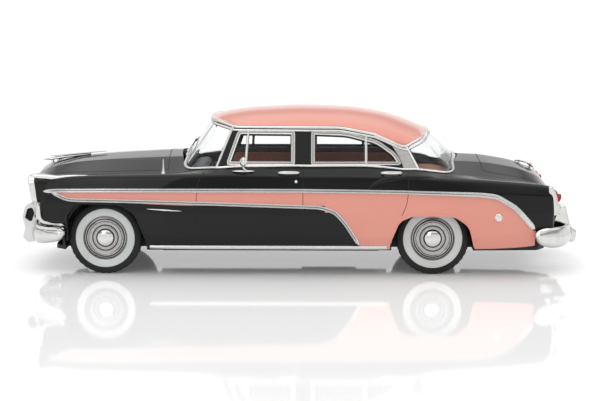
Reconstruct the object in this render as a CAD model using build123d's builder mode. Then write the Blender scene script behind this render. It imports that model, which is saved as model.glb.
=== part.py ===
"""A 1:43 scale model of a 1950s two-tone four-door sedan, in millimetres.

Frame: +Z up from the floor, -X towards the front bumper, and the plane Y = 0 is the car's middle.
The body is one casting with its doors only marked, so the two wheel sets are all that turns.
Paired pieces are drawn on the left-hand side, where Y is negative, and mirrored to the right.
"""
from build123d import *
import os

# ---------------------------------------------------------------- driving sizes
FRONT_AXLE_X = -44.35
REAR_AXLE_X = 30.05
AXLES = (("front", FRONT_AXLE_X), ("rear", REAR_AXLE_X))
TYRE_R = 8.3
TYRE_HALF_WIDTH = 2.2
TREAD_HALF_WIDTH = 1.8
TYRE_CENTRE_Y = 17.5
RIM_R = 4.9
RIM_HALF_WIDTH = 1.7
COVER_PROUD = 0.9
AXLE_R = 0.9
AXLE_PLAY = 0.05

BODY_WALL = 1.3
ROOF_WALL = 1.0
PILLAR_DEPTH = 0.9
GLASS = 0.5
GLASS_INSET = 0.25
FRAME_WIDTH = 0.8
FRAME_PROUD = 0.25
TRIM_HALF_WIDTH = 0.35
TRIM_PROUD = 0.25

WELL_WALL = 0.5
WELL_R = TYRE_R + 1.0
WELL_INNER_Y = TYRE_CENTRE_Y - TYRE_HALF_WIDTH - 1.7
WELL_OUTER_Y = TYRE_CENTRE_Y + 1.9
BASE_Z = 5.4
BASE_THICK = 0.9
BASE_TOP_Z = BASE_Z + BASE_THICK
AXLE_BLOCK_HALF_LENGTH = 2.2
AXLE_BLOCK_TOP_Z = TYRE_R + 2.2
TUB_WALL = 0.8
TUB_X = (-27.0, 19.8)
TUB_HALF_WIDTH = 17.4
TUB_FLOOR_Z = BASE_TOP_Z + 0.7
TUB_TOP_Z = 21.6
SCREW_R = 1.0
SCREW_DEPTH = 5.0
SCREW_X = (-31.0, 47.0)
BOSS_R = 2.2
BOSS_ROOF = 1.0

LEFT_RIGHT = Plane.XZ
BOTTOM = (Align.CENTER, Align.CENTER, Align.MIN)
LENGTHS = (-80.0, 80.0)
WIDTHS = (-30.0, 30.0)
LEFT = (WIDTHS[0], 0.0)

NODES = {}


def keep(part, name):
    """Labels a finished piece and files it under its node's name."""
    part.label = name
    NODES[name] = part


def keep_pair(part, name):
    """Files a left-hand piece and its mirror image."""
    keep(part, name + "_left")
    keep(part.mirror(LEFT_RIGHT), name + "_right")


# ---------------------------------------------------------------- drawn prisms and turned forms
def side_prism(points, y=WIDTHS, radius=None, ring=None):
    """A side-view outline of (x, z) points drawn across the car, or just a ring inside its edge."""
    with BuildPart() as prism:
        with BuildSketch(Plane.XZ.offset(-y[1])):
            with BuildLine():
                if radius is None:
                    Polyline(*points, close=True)
                else:
                    FilletPolyline(*points, radius=radius, close=True)
            make_face()
            if ring:
                offset(amount=-ring, kind=Kind.INTERSECTION, mode=Mode.SUBTRACT)
        extrude(amount=y[1] - y[0])
    return prism.part


def front_prism(points, x, radius, ring=None):
    """A front-view outline of (y, z) points drawn along the car, or just a ring inside its edge."""
    with BuildPart() as prism:
        with BuildSketch(Plane.YZ.offset(x[0])):
            with BuildLine():
                FilletPolyline(*points, radius=radius, close=True)
            make_face()
            if ring:
                offset(amount=-ring, kind=Kind.INTERSECTION, mode=Mode.SUBTRACT)
        extrude(amount=x[1] - x[0])
    return prism.part


def plan_prism(points, z, radius):
    """A plan outline of (x, y) points with rounded corners, drawn up between two heights."""
    with BuildPart() as prism:
        with BuildSketch(Plane.XY.offset(z[0])):
            with BuildLine():
                FilletPolyline(*points, radius=radius, close=True)
            make_face()
        extrude(amount=z[1] - z[0])
    return prism.part


def band(points, half_width, y=LEFT):
    """A side-view line of (x, z) points thickened to a band and drawn across the car."""
    above, below = [], []
    for i, (x, z) in enumerate(points):
        x0, z0 = points[max(i - 1, 0)]
        x1, z1 = points[min(i + 1, len(points) - 1)]
        length = ((x1 - x0) ** 2 + (z1 - z0) ** 2) ** 0.5
        nx, nz = (z1 - z0) / length * half_width, (x1 - x0) / length * half_width
        above.append((x - nx, z + nz))
        below.append((x + nx, z - nz))
    return side_prism(above + below[::-1], y)


def block(x, y, z):
    """A box between pairs of (low, high) limits."""
    with BuildPart() as box:
        with Locations(((x[0] + x[1]) / 2, (y[0] + y[1]) / 2, (z[0] + z[1]) / 2)):
            Box(x[1] - x[0], y[1] - y[0], z[1] - z[0])
    return box.part


def turned_x(profile, y, z):
    """An (x, radius) profile spun about the line along X through (y, z)."""
    with BuildPart() as spun:
        with BuildSketch(Plane((0, y, z), x_dir=(1, 0, 0), z_dir=(0, -1, 0))):
            with BuildLine():
                Polyline(*profile, close=True)
            make_face()
        revolve(axis=Axis((0, y, z), (1, 0, 0)))
    return spun.part


def turned_wheel(profile, axle_x):
    """A (distance outboard, radius) profile spun about an axle, on the left-hand side."""
    with BuildPart() as spun:
        with BuildSketch(Plane((axle_x, -TYRE_CENTRE_Y, TYRE_R), x_dir=(0, -1, 0), z_dir=(1, 0, 0))):
            with BuildLine():
                Polyline(*profile, close=True)
            make_face()
        revolve(axis=Axis((axle_x, 0, TYRE_R), (0, 1, 0)))
    return spun.part


def rod(start, end, radius):
    """A round rod between two points."""
    with BuildPart() as bar:
        with BuildLine():
            line = Line(start, end)
        with BuildSketch(Plane(origin=start, z_dir=line % 0)):
            Circle(radius)
        sweep()
    return bar.part


def mirrored_plan(half):
    """A closed plan outline from its left-hand half, listed from the nose to the tail."""
    return half + [(x, -y) for x, y in reversed(half) if y]


# ---------------------------------------------------------------- lower body form
# One row per station, nose to tail. y is half a width; each pair is one corner of the half section:
# sill, lower side, widest line, shoulder, wing crown, valley beside the deck, deck and middle line.
#    x      sill y,z      low y,z       mid y,z       shoulder y,z
#           crown y,z     valley y,z    deck y,z      top z
BODY_ROWS = [
    (-62.4, (20.2, 11.6), (21.0, 13.5), (21.5, 16.5), (21.2, 19.4),
            (20.2, 21.7), (15.2, 20.9), (8.0, 20.8), 21.1),
    (-60.6, (20.4, 11.6), (21.2, 13.5), (21.7, 16.5), (21.4, 19.4),
            (20.5, 22.0), (15.4, 21.7), (8.2, 22.5), 22.9),
    (-57.5, (20.8, 11.6), (21.6, 13.5), (22.1, 16.5), (21.8, 19.4),
            (20.9, 22.3), (15.6, 22.2), (8.3, 23.6), 24.0),
    (-52.0, (21.0, 10.6), (22.1, 13.0), (22.6, 16.0), (22.2, 19.5),
            (21.1, 22.6), (15.9, 22.5), (8.6, 24.5), 25.1),
    (-44.0, (21.0, 9.0), (22.2, 12.0), (22.8, 15.5), (22.4, 19.6),
            (21.2, 22.8), (16.1, 22.7), (9.0, 25.1), 25.8),
    (-34.0, (21.2, 6.2), (22.4, 9.5), (22.9, 14.5), (22.4, 19.6),
            (21.3, 23.0), (16.4, 22.9), (9.5, 25.6), 26.4),
    (-26.0, (21.2, 5.9), (22.4, 9.0), (22.9, 14.0), (22.3, 19.6),
            (21.3, 23.1), (17.2, 23.3), (9.8, 25.9), 26.7),
    (-17.0, (21.2, 5.9), (22.4, 9.0), (22.9, 14.0), (22.2, 19.6),
            (21.2, 22.9), (19.4, 24.5), (10.0, 25.6), 26.1),
    (0.0,   (21.2, 5.9), (22.4, 9.0), (22.9, 14.0), (22.2, 19.5),
            (21.4, 22.5), (19.7, 24.8), (10.0, 25.2), 25.4),
    (15.0,  (21.2, 5.9), (22.4, 9.0), (22.9, 14.0), (22.2, 19.3),
            (21.4, 22.4), (19.6, 24.7), (10.0, 25.2), 25.4),
    (25.0,  (21.1, 6.0), (22.5, 9.0), (23.0, 14.0), (22.5, 19.2),
            (21.6, 22.5), (18.6, 24.2), (10.0, 25.3), 25.6),
    (33.0,  (21.0, 6.2), (22.5, 9.0), (23.0, 14.0), (22.5, 19.0),
            (21.5, 22.2), (17.4, 22.9), (9.8, 25.0), 25.9),
    (42.0,  (20.8, 6.7), (22.3, 9.2), (22.9, 14.0), (22.3, 18.8),
            (21.2, 21.8), (16.8, 22.0), (9.4, 24.6), 25.6),
    (50.0,  (20.4, 7.2), (21.8, 9.8), (22.4, 14.0), (21.9, 18.5),
            (20.8, 21.2), (16.2, 21.2), (8.8, 23.3), 24.2),
    (55.0,  (19.9, 7.8), (21.2, 10.4), (21.9, 14.0), (21.4, 18.2),
            (20.4, 20.8), (15.6, 19.8), (8.4, 21.0), 21.6),
    (57.4,  (19.6, 8.1), (20.8, 10.8), (21.4, 14.0), (21.0, 18.0),
            (20.0, 20.4), (15.2, 17.6), (8.0, 17.9), 18.2),
]
CORNER_R = [0.8, 3.0, 6.0, 4.0, 1.1, 1.4, 6.0, 9.0]
BELOW_SILL = 4.0
NOSE_X = BODY_ROWS[0][0]
NOSE_SWEPT_BACK = 2.4
NOSE_HALF_WIDTH = 18.6


def nose_x(y):
    """Where the swept front of the body is at a distance from the middle."""
    return NOSE_X + NOSE_SWEPT_BACK * (y / NOSE_HALF_WIDTH) ** 2


def behind_nose(inset):
    """Everything behind the curved plan of the nose, moved back by inset."""
    corner_x = NOSE_X + NOSE_SWEPT_BACK + inset
    with BuildPart() as plan:
        with BuildSketch():
            with BuildLine():
                ThreePointArc((corner_x, -NOSE_HALF_WIDTH), (NOSE_X + inset, 0),
                              (corner_x, NOSE_HALF_WIDTH))
                Polyline((corner_x, NOSE_HALF_WIDTH), (corner_x + 1.2, 20.9), (corner_x + 3.4, 22.4),
                         (corner_x + 9.0, WIDTHS[1]), (LENGTHS[1], WIDTHS[1]), (LENGTHS[1], WIDTHS[0]),
                         (corner_x + 9.0, WIDTHS[0]), (corner_x + 3.4, -22.4), (corner_x + 1.2, -20.9),
                         (corner_x, -NOSE_HALF_WIDTH))
            make_face()
        extrude(amount=40.0)
    return plan.part


def body_section(row, wall):
    """Corners of one closed section, grown inwards by a wall, or outwards by a negative one."""
    _, sill, low, mid, shoulder, crown, valley, deck, top = row
    drop = BELOW_SILL * wall if wall > 0 else 0.0
    half = [
        (sill[0] - wall, sill[1] - drop),
        (low[0] - wall, low[1]),
        (mid[0] - wall, mid[1]),
        (shoulder[0] - wall, shoulder[1]),
        (crown[0] - wall, crown[1] - wall),
        (valley[0] - 0.3 * wall, valley[1] - wall),
        (deck[0], deck[1] - wall),
    ]
    return half + [(0.0, top - wall)] + [(-y, z) for y, z in reversed(half)]


def body_form(grow=0.0):
    """The lower body as a solid, or the same form grown outwards a little."""
    with BuildPart() as form:
        for row in BODY_ROWS:
            with BuildSketch(Plane.YZ.offset(row[0])):
                with BuildLine():
                    FilletPolyline(*body_section(row, -grow), radius=CORNER_R + CORNER_R[-2::-1],
                                   close=True)
                make_face()
        loft(ruled=True)
        add(behind_nose(-grow), mode=Mode.INTERSECT)
    return form.part


def body_hollow(wall):
    """The plain hollow inside the casting, open below the sills."""
    with BuildPart() as hollow:
        for row in BODY_ROWS[::2] + BODY_ROWS[-1:]:
            tail_shift = -wall if row is BODY_ROWS[-1] else 0.0
            with BuildSketch(Plane.YZ.offset(row[0] + tail_shift)):
                with BuildLine():
                    Polyline(*body_section(row, wall), close=True)
                make_face()
        loft(ruled=True)
        add(behind_nose(wall), mode=Mode.INTERSECT)
    return hollow.part


# ---------------------------------------------------------------- glasshouse form
# Half a plan outline, front middle to rear middle, at the belt and at the height where the sides are aimed.
#        belt x, y        aim x, y       corner radius
GLASS_ROWS = [
    ((-28.5, 0.0), (-18.4, 0.0), 60.0),
    ((-26.6, 15.6), (-17.0, 9.6), 4.5),
    ((-18.0, 19.4), (-12.9, 13.2), 9.0),
    ((2.0, 19.75), (2.0, 13.9), 60.0),
    ((23.5, 19.2), (16.5, 13.3), 9.0),
    ((33.6, 16.4), (20.6, 10.6), 5.0),
    ((38.8, 0.0), (21.8, 0.0), 30.0),
]
GLASS_RADII = [radius for _, _, radius in GLASS_ROWS + GLASS_ROWS[-2:0:-1]]
GLASS_BELT_Z = 24.4
GLASS_AIM_Z = 38.6
GLASS_FOOT_Z = 23.5
AIM_RADIUS_SHARE = 0.62
CABIN_OPENING_Z = 26.2
SCREEN_CORNER_X = -20.0
REAR_CORNER_X = 24.0


def glasshouse_outline(z, inset):
    """The plan outline at one height, as closed points, set in from the outside by inset."""
    share = (z - GLASS_BELT_Z) / (GLASS_AIM_Z - GLASS_BELT_Z)
    half = []
    for (bx, by), (ax, ay), _ in GLASS_ROWS:
        x = bx + (ax - bx) * share
        y = by + (ay - by) * share
        inward_x = inset * (1 if x < SCREEN_CORNER_X else -1 if x > REAR_CORNER_X else 0)
        half.append((x + inward_x, max(0.0, y - inset) if y else 0.0))
    return half + [(x, -y) for x, y in reversed(half[1:-1])]


def glasshouse(inset):
    """The whole glasshouse as a solid whose sides are the windows' outer surface, set in by inset."""
    with BuildPart() as house:
        for z, share in ((GLASS_FOOT_Z, 1.0), (GLASS_AIM_Z, AIM_RADIUS_SHARE)):
            with BuildSketch(Plane.XY.offset(z)):
                with BuildLine():
                    FilletPolyline(*glasshouse_outline(z, inset), radius=[r * share for r in GLASS_RADII],
                                   close=True)
                make_face()
        loft(ruled=True)
    return house.part


#            x      top z  arch radius
ROOF_ROWS = [
    (-27.0, 32.9, 44.0),
    (-18.8, 35.6, 42.0),
    (-12.2, 36.6, 40.0),
    (-0.4, 37.2, 40.0),
    (11.4, 36.85, 40.0),
    (20.0, 35.5, 38.0),
    (29.2, 32.0, 36.0),
    (37.0, 27.6, 36.0),
]
ROOF_HALF_SPAN = 24.0
ROOF_FLOOR_Z = 5.0


def roof_dome(drop=0.0):
    """Everything below the roof's crown, as a solid."""
    with BuildPart() as dome:
        for x, top, arch_r in ROOF_ROWS:
            edge = top - drop - arch_r + (arch_r**2 - ROOF_HALF_SPAN**2) ** 0.5
            with BuildSketch(Plane.YZ.offset(x)):
                with BuildLine():
                    ThreePointArc((-ROOF_HALF_SPAN, edge), (0, top - drop), (ROOF_HALF_SPAN, edge))
                    Polyline((ROOF_HALF_SPAN, edge), (ROOF_HALF_SPAN, ROOF_FLOOR_Z),
                             (-ROOF_HALF_SPAN, ROOF_FLOOR_Z), (-ROOF_HALF_SPAN, edge))
                make_face()
        loft(ruled=True)
    return dome.part


# ---------------------------------------------------------------- side-view outlines, (x, z)
SWEEP_TOP = [(-58.1, 19.14), (-54.1, 19.38), (-45.0, 19.49), (0.0, 19.5), (22.5, 19.25), (40.4, 18.68),
             (44.2, 18.24), (48.3, 15.87), (50.6, 13.49), (52.9, 10.77)]
SWEEP_LOW = [(-56.25, 18.98), (-54.9, 18.53), (-53.6, 17.79), (-51.8, 17.36), (-45.0, 17.28),
             (-33.7, 16.99), (-22.5, 16.66), (0.0, 15.94), (4.5, 15.81), (7.9, 14.71), (10.1, 12.33),
             (13.5, 6.99)]
SWEEP_FOOT = [(57.0, 4.0), (13.8, 4.0)]
CORNER_TRIM = [(-58.9, 16.4), (-58.7, 13.0), (-57.9, 11.75), (-53.6, 11.35)]
# The arches are drawn from their axle's x.
FRONT_ARCH = [(-8.55, 4.0), (-8.55, 13.9), (-5.85, 16.6), (3.25, 16.5), (6.95, 14.6), (10.05, 7.0),
              (10.05, 4.0)]
REAR_ARCH = [(-9.85, 4.0), (-9.65, 8.2), (-7.65, 12.8), (-4.25, 14.1), (4.75, 14.0), (8.05, 11.6),
             (9.45, 6.6), (9.45, 4.0)]
ARCHES = [[(FRONT_AXLE_X + dx, z) for dx, z in FRONT_ARCH], [(REAR_AXLE_X + dx, z) for dx, z in REAR_ARCH]]
WINDSCREEN_LINE = [(-34.0, 22.0), (-19.0, 22.0), (-18.6, 24.6), (-15.6, 33.2), (-20.7, 34.6),
                   (-24.0, 36.0)]
REAR_SCREEN_LINE = [(46.0, 22.0), (27.6, 22.0), (26.5, 24.6), (24.3, 28.8), (25.2, 29.3), (29.5, 31.5),
                    (34.0, 34.0)]
FRONT_WINDOW = [(-16.9, 24.9), (-14.2, 32.5), (-1.2, 32.5), (-1.2, 24.9)]
FRONT_WINDOW_R = [0.5, 1.3, 0.5, 0.4]
REAR_WINDOW = [(2.45, 24.9), (2.45, 32.5), (10.5, 32.2), (17.6, 30.4), (21.6, 27.6), (23.2, 24.9)]
REAR_WINDOW_R = [0.4, 0.5, 14.0, 8.0, 5.0, 0.5]
SIDE_WINDOWS = ((FRONT_WINDOW, FRONT_WINDOW_R), (REAR_WINDOW, REAR_WINDOW_R))
ROOF_EDGE = [(-24.0, 36.2), (-20.7, 34.9), (-15.0, 33.4), (9.0, 33.3), (16.9, 31.8), (22.0, 29.5),
             (23.6, 28.9), (25.0, 29.6), (29.6, 31.8), (34.0, 34.2)]
ABOVE_ROOF_Z = 45.0

# ---------------------------------------------------------------- casting: shell, openings, colour split
# Half the front view of the grille opening, (y, z): low and flat at the side lamp, taller in the middle.
GRILLE_HALF = [(-19.2, 12.6), (-19.2, 15.4), (-13.6, 15.8), (-12.6, 18.6)]
GRILLE_OUTLINE = GRILLE_HALF + [(-y, z) for y, z in reversed(GRILLE_HALF)]
GRILLE_CORNER_R = 0.9
NOSE_DEPTH = (NOSE_X - 1.0, NOSE_X + 5.0)

outer = body_form()
with BuildPart() as casting:
    add(outer)
    add(body_hollow(BODY_WALL), mode=Mode.SUBTRACT)
    for arch in ARCHES:
        add(side_prism(arch, (WIDTHS[0], -WELL_INNER_Y)), mode=Mode.SUBTRACT)
        add(side_prism(arch, (WELL_INNER_Y, WIDTHS[1])), mode=Mode.SUBTRACT)
    cabin_plan = glasshouse_outline(CABIN_OPENING_Z, BODY_WALL)
    add(plan_prism(cabin_plan, (20.0, 30.0), [0.8 * r for r in GLASS_RADII]), mode=Mode.SUBTRACT)
    add(front_prism(GRILLE_OUTLINE, NOSE_DEPTH, GRILLE_CORNER_R), mode=Mode.SUBTRACT)

sweep_zone = side_prism(SWEEP_TOP + SWEEP_FOOT + SWEEP_LOW[::-1], (WIDTHS[0], -15.0))
with BuildPart() as sweep_panel:
    add(casting.part)
    add(sweep_zone, mode=Mode.INTERSECT)
keep_pair(sweep_panel.part, "sweep_panel")
with BuildPart() as body_shell:
    add(casting.part)
    add(sweep_zone, mode=Mode.SUBTRACT)
    add(sweep_zone.mirror(LEFT_RIGHT), mode=Mode.SUBTRACT)
keep(body_shell.part, "body_shell")

trim_layer = body_form(TRIM_PROUD)
with BuildPart() as sweep_trim:
    for line in (SWEEP_TOP, SWEEP_LOW, CORNER_TRIM):
        add(band(line, TRIM_HALF_WIDTH))
    add(trim_layer, mode=Mode.INTERSECT)
    add(outer, mode=Mode.SUBTRACT)
    for arch in ARCHES:
        add(side_prism(arch), mode=Mode.SUBTRACT)
keep_pair(sweep_trim.part, "sweep_trim")
with BuildPart() as sill_trim:
    add(block((FRONT_AXLE_X + 10.35, REAR_AXLE_X - 10.0), (WIDTHS[0], -19.0), (6.0, 6.9)))
    add(trim_layer, mode=Mode.INTERSECT)
    add(outer, mode=Mode.SUBTRACT)
keep_pair(sill_trim.part, "sill_trim")

# ---------------------------------------------------------------- roof, pillars, window frames and glass
above_edge = side_prism(ROOF_EDGE + [(ROOF_EDGE[-1][0], ABOVE_ROOF_Z), (ROOF_EDGE[0][0], ABOVE_ROOF_Z)])
with BuildPart() as headroom:
    add(glasshouse(ROOF_WALL))
    add(roof_dome(ROOF_WALL), mode=Mode.INTERSECT)
with BuildPart() as roof_panel:
    add(glasshouse(0.0))
    add(roof_dome(), mode=Mode.INTERSECT)
    add(above_edge, mode=Mode.INTERSECT)
    add(headroom.part, mode=Mode.SUBTRACT)
keep(roof_panel.part, "roof_panel")

with BuildPart() as window_band:
    add(glasshouse(0.0))
    add(roof_dome(), mode=Mode.INTERSECT)
    add(above_edge, mode=Mode.SUBTRACT)
    add(outer, mode=Mode.SUBTRACT)
windscreen_zone = side_prism(WINDSCREEN_LINE)
rear_screen_zone = side_prism(REAR_SCREEN_LINE)
with BuildPart() as window_pillars:
    add(window_band.part)
    add(glasshouse(PILLAR_DEPTH), mode=Mode.SUBTRACT)
    add(windscreen_zone, mode=Mode.SUBTRACT)
    add(rear_screen_zone, mode=Mode.SUBTRACT)
    for outline, radii in SIDE_WINDOWS:
        add(side_prism(outline, radius=radii), mode=Mode.SUBTRACT)
keep(window_pillars.part, "window_pillars")

with BuildPart() as window_frame:
    for outline, radii in SIDE_WINDOWS:
        add(side_prism(outline, LEFT, radii, ring=FRAME_WIDTH))
    add(glasshouse(-FRAME_PROUD), mode=Mode.INTERSECT)
    add(glasshouse(GLASS_INSET), mode=Mode.SUBTRACT)
    add(outer, mode=Mode.SUBTRACT)
keep_pair(window_frame.part, "window_frame")

with BuildPart() as glazing:
    add(window_band.part)
    add(glasshouse(GLASS_INSET), mode=Mode.INTERSECT)
    add(glasshouse(GLASS_INSET + GLASS), mode=Mode.SUBTRACT)
for name, zone in (("windscreen", windscreen_zone), ("rear_window", rear_screen_zone)):
    with BuildPart() as pane:
        add(glazing.part)
        add(zone, mode=Mode.INTERSECT)
    keep(pane.part, name)
with BuildPart() as side_glass:
    for outline, radii in SIDE_WINDOWS:
        add(side_prism(outline, LEFT, radii))
    add(glazing.part, mode=Mode.INTERSECT)
keep_pair(side_glass.part, "side_glass")

# ---------------------------------------------------------------- bumpers
BLADE_THICK = 1.4
BLADE_EASE = 0.5
GUARD_EASE = 0.35
FRONT_PLAN = [(-63.4, 0.0), (-62.9, 9.0), (-61.0, 16.5), (-57.8, 20.8), (-53.6, 22.5)]
FRONT_SIDE = [(-53.4, 8.8), (-54.6, 7.6), (-60.6, 6.2), (-66.0, 6.2), (-66.0, 10.6), (-58.4, 11.0),
              (-53.4, 10.8)]
FRONT_GUARD_Y = 12.0
FRONT_GUARD = [(-62.0, 6.0), (-63.4, 6.0), (-64.3, 7.4), (-63.7, 9.7), (-64.45, 11.8), (-63.8, 14.6),
               (-62.6, 15.3), (-62.0, 14.7)]
FRONT_LOOP = [(-63.75, 11.6), (-63.2, 14.0), (-62.4, 14.3), (-62.4, 10.9)]
REAR_PLAN = [(63.6, 0.0), (63.2, 10.0), (61.8, 17.0), (59.0, 21.8), (53.0, 23.2)]
REAR_SIDE = [(52.6, 9.8), (53.8, 7.7), (57.0, 6.5), (62.4, 6.3), (63.8, 8.7), (62.4, 10.7), (56.0, 11.2),
             (53.0, 11.2)]
REAR_GUARD_Y = 12.0
REAR_GUARD = [(60.2, 6.0), (58.0, 10.0), (58.6, 13.0), (59.2, 15.2), (60.5, 15.0), (61.7, 10.8),
              (64.45, 8.8), (62.8, 6.0)]


def blade(plan, side_outline, radius):
    """A wrapped bumper blade: its half plan line thickened, then trimmed to its side view."""
    inward = BLADE_THICK if plan[0][0] < 0 else -BLADE_THICK
    inner = [(x + inward, max(0.0, y - 0.6 * BLADE_THICK)) for x, y in plan]
    outline = plan + inner[::-1] + [(x, -y) for x, y in inner[1:]] + [(x, -y) for x, y in plan[:0:-1]]
    with BuildPart() as wrapped:
        with BuildSketch():
            with BuildLine():
                Polyline(*outline, close=True)
            make_face()
        extrude(amount=20.0)
        add(side_prism(side_outline, radius=radius), mode=Mode.INTERSECT)
    return wrapped.part


def guard(outline, y, half_width):
    """An upright bumper guard from its side view, its outer edges eased."""
    with BuildPart() as upright:
        add(side_prism(outline, (-y - half_width, -y + half_width)))
        chamfer(upright.faces().filter_by(Axis.Y).edges(), GUARD_EASE)
    return upright.part


with BuildPart() as front_bumper:
    add(blade(FRONT_PLAN, FRONT_SIDE, BLADE_EASE))
    upright = guard(FRONT_GUARD, FRONT_GUARD_Y, 1.3)
    add(upright)
    add(upright.mirror(LEFT_RIGHT))
    add(side_prism(FRONT_LOOP, radius=0.3), mode=Mode.SUBTRACT)
keep(front_bumper.part, "front_bumper")
with BuildPart() as rear_bumper:
    add(blade(REAR_PLAN, REAR_SIDE, BLADE_EASE))
    upright = guard(REAR_GUARD, REAR_GUARD_Y, 1.6)
    add(upright)
    add(upright.mirror(LEFT_RIGHT))
keep(rear_bumper.part, "rear_bumper")

# ---------------------------------------------------------------- grille: surround, bars, seven teeth
RING_WIDTH = 0.5
RING_PROUD = 0.3
RING_BACK = 0.7
TEETH = 7
TOOTH_PITCH = 3.35
TOOTH_HALF_WIDTH = 1.05
TOOTH_EASE = 0.45
BAR_FRONT = 0.8
BAR_BACK = 1.3
# Side view of one tooth: distance behind the nose, and height.
TOOTH = [(BAR_BACK, 13.7), (0.1, 13.6), (-0.45, 14.6), (-0.5, 16.4), (0.0, 17.6), (BAR_BACK, 17.6)]
BARS_Z = ((13.9, 14.5), (16.5, 17.0))

with BuildPart() as grille_surround:
    add(front_prism(GRILLE_OUTLINE, NOSE_DEPTH, GRILLE_CORNER_R, ring=RING_WIDTH))
    add(behind_nose(-RING_PROUD), mode=Mode.INTERSECT)
    add(behind_nose(RING_BACK), mode=Mode.SUBTRACT)
keep(grille_surround.part, "grille_surround")

with BuildPart() as tooth:
    add(side_prism(TOOTH, (-TOOTH_HALF_WIDTH, TOOTH_HALF_WIDTH)))
    flanks = tooth.faces().filter_by(Axis.Y)
    chamfer([edge for flank in flanks for edge in flank.edges().sort_by(Axis.X)[:-1]], TOOTH_EASE)
with BuildPart() as grille_teeth:
    for low, high in BARS_Z:
        add(block(NOSE_DEPTH, (-19.2, 19.2), (low, high)))
    add(front_prism(GRILLE_OUTLINE, NOSE_DEPTH, GRILLE_CORNER_R), mode=Mode.INTERSECT)
    add(front_prism(GRILLE_OUTLINE, NOSE_DEPTH, GRILLE_CORNER_R, ring=RING_WIDTH), mode=Mode.SUBTRACT)
    add(behind_nose(BAR_FRONT), mode=Mode.INTERSECT)
    add(behind_nose(BAR_BACK), mode=Mode.SUBTRACT)
    for i in range(TEETH):
        tooth_y = (i - (TEETH - 1) / 2) * TOOTH_PITCH
        with Locations((nose_x(tooth_y), tooth_y, 0)):
            add(tooth.part)
keep(grille_teeth.part, "grille_teeth")

# ---------------------------------------------------------------- lamps
LAMP_Y = -17.4
LAMP_Z = 19.3
LENS_R = 2.4
BEZEL_BORE_R = LENS_R + 0.05
BEZEL_FRONT = [(-21.1, 16.3), (-13.8, 16.3), (-13.7, 21.2), (-14.9, 22.5), (-20.0, 22.5), (-21.1, 21.2)]
BEZEL_SIDE = [(-62.1, 22.6), (-61.5, 21.4), (-61.3, 19.0), (-60.9, 16.2), (-57.8, 16.2), (-57.8, 22.6)]
TAIL_HOUSING = [(56.2, 20.6), (57.2, 20.4), (58.4, 14.4), (57.4, 13.9), (56.2, 13.9)]
TAIL_LENS = [(57.5, 20.0), (58.3, 19.7), (59.0, 17.0), (58.0, 16.6), (57.2, 16.6)]
REVERSING_LENS = [(57.3, 16.4), (58.9, 16.4), (59.1, 15.2), (58.2, 14.7), (57.3, 14.7)]
TAIL_LENSES = (("tail_lens", TAIL_LENS, (-19.6, -16.6)),
               ("reversing_lens", REVERSING_LENS, (-19.3, -16.9)))

with BuildPart() as headlamp_bezel:
    add(front_prism(BEZEL_FRONT, (-62.5, -57.5), 1.0))
    add(side_prism(BEZEL_SIDE), mode=Mode.INTERSECT)
    bore_profile = [(-63.0, 0.0), (-63.0, BEZEL_BORE_R), (-57.0, BEZEL_BORE_R), (-57.0, 0.0)]
    add(turned_x(bore_profile, LAMP_Y, LAMP_Z), mode=Mode.SUBTRACT)
    add(outer, mode=Mode.SUBTRACT)
keep_pair(headlamp_bezel.part, "headlamp_bezel")
with BuildPart() as headlamp_lens:
    lens_profile = [(-59.0, 0.0), (-59.0, LENS_R), (-60.9, LENS_R), (-61.4, 1.5), (-61.6, 0.0)]
    add(turned_x(lens_profile, LAMP_Y, LAMP_Z))
    add(outer, mode=Mode.SUBTRACT)
keep_pair(headlamp_lens.part, "headlamp_lens")

PARKING_Y = -16.2
PARKING_Z = 14.1
PARKING_R = 0.8
parking_x = nose_x(PARKING_Y)
keep_pair(turned_x([(parking_x + 0.5, 0.0), (parking_x + 0.5, PARKING_R), (parking_x - 0.1, PARKING_R),
                    (parking_x - 0.4, 0.0)], PARKING_Y, PARKING_Z), "parking_lamp")

with BuildPart() as tail_lamp_housing:
    add(side_prism(TAIL_HOUSING, (-20.2, -16.0)))
    add(outer, mode=Mode.SUBTRACT)
keep_pair(tail_lamp_housing.part, "tail_lamp_housing")
for name, outline, y in TAIL_LENSES:
    with BuildPart() as lens:
        add(side_prism(outline, y))
        add(tail_lamp_housing.part, mode=Mode.SUBTRACT)
        add(outer, mode=Mode.SUBTRACT)
    keep_pair(lens.part, name)

# ---------------------------------------------------------------- body fittings
ORNAMENT = [(-61.4, 24.1), (-60.2, 24.8), (-54.0, 25.5), (-46.0, 26.2), (-46.0, 25.0), (-57.4, 23.9),
            (-58.2, 22.6), (-59.2, 22.6), (-59.4, 23.7)]
ORNAMENT_PLAN = [(-61.6, 0.0), (-58.0, -0.9), (-46.0, -0.5), (-46.0, 0.5), (-58.0, 0.9)]
BOOT_HANDLE = [(50.3, 23.4), (50.8, 24.5), (53.0, 23.9), (53.6, 24.0), (54.7, 22.9), (55.0, 21.4)]
HANDLE_LENGTH = 4.9
HANDLES = (("front_door_handle", -5.0), ("rear_door_handle", 18.2))
MIRROR_Y = -21.8
MIRROR_Z = 26.0
MIRROR_HEAD = [(-13.2, 0.0), (-13.2, 0.6), (-12.9, 1.1), (-12.5, 1.15), (-12.5, 0.0)]

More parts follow.
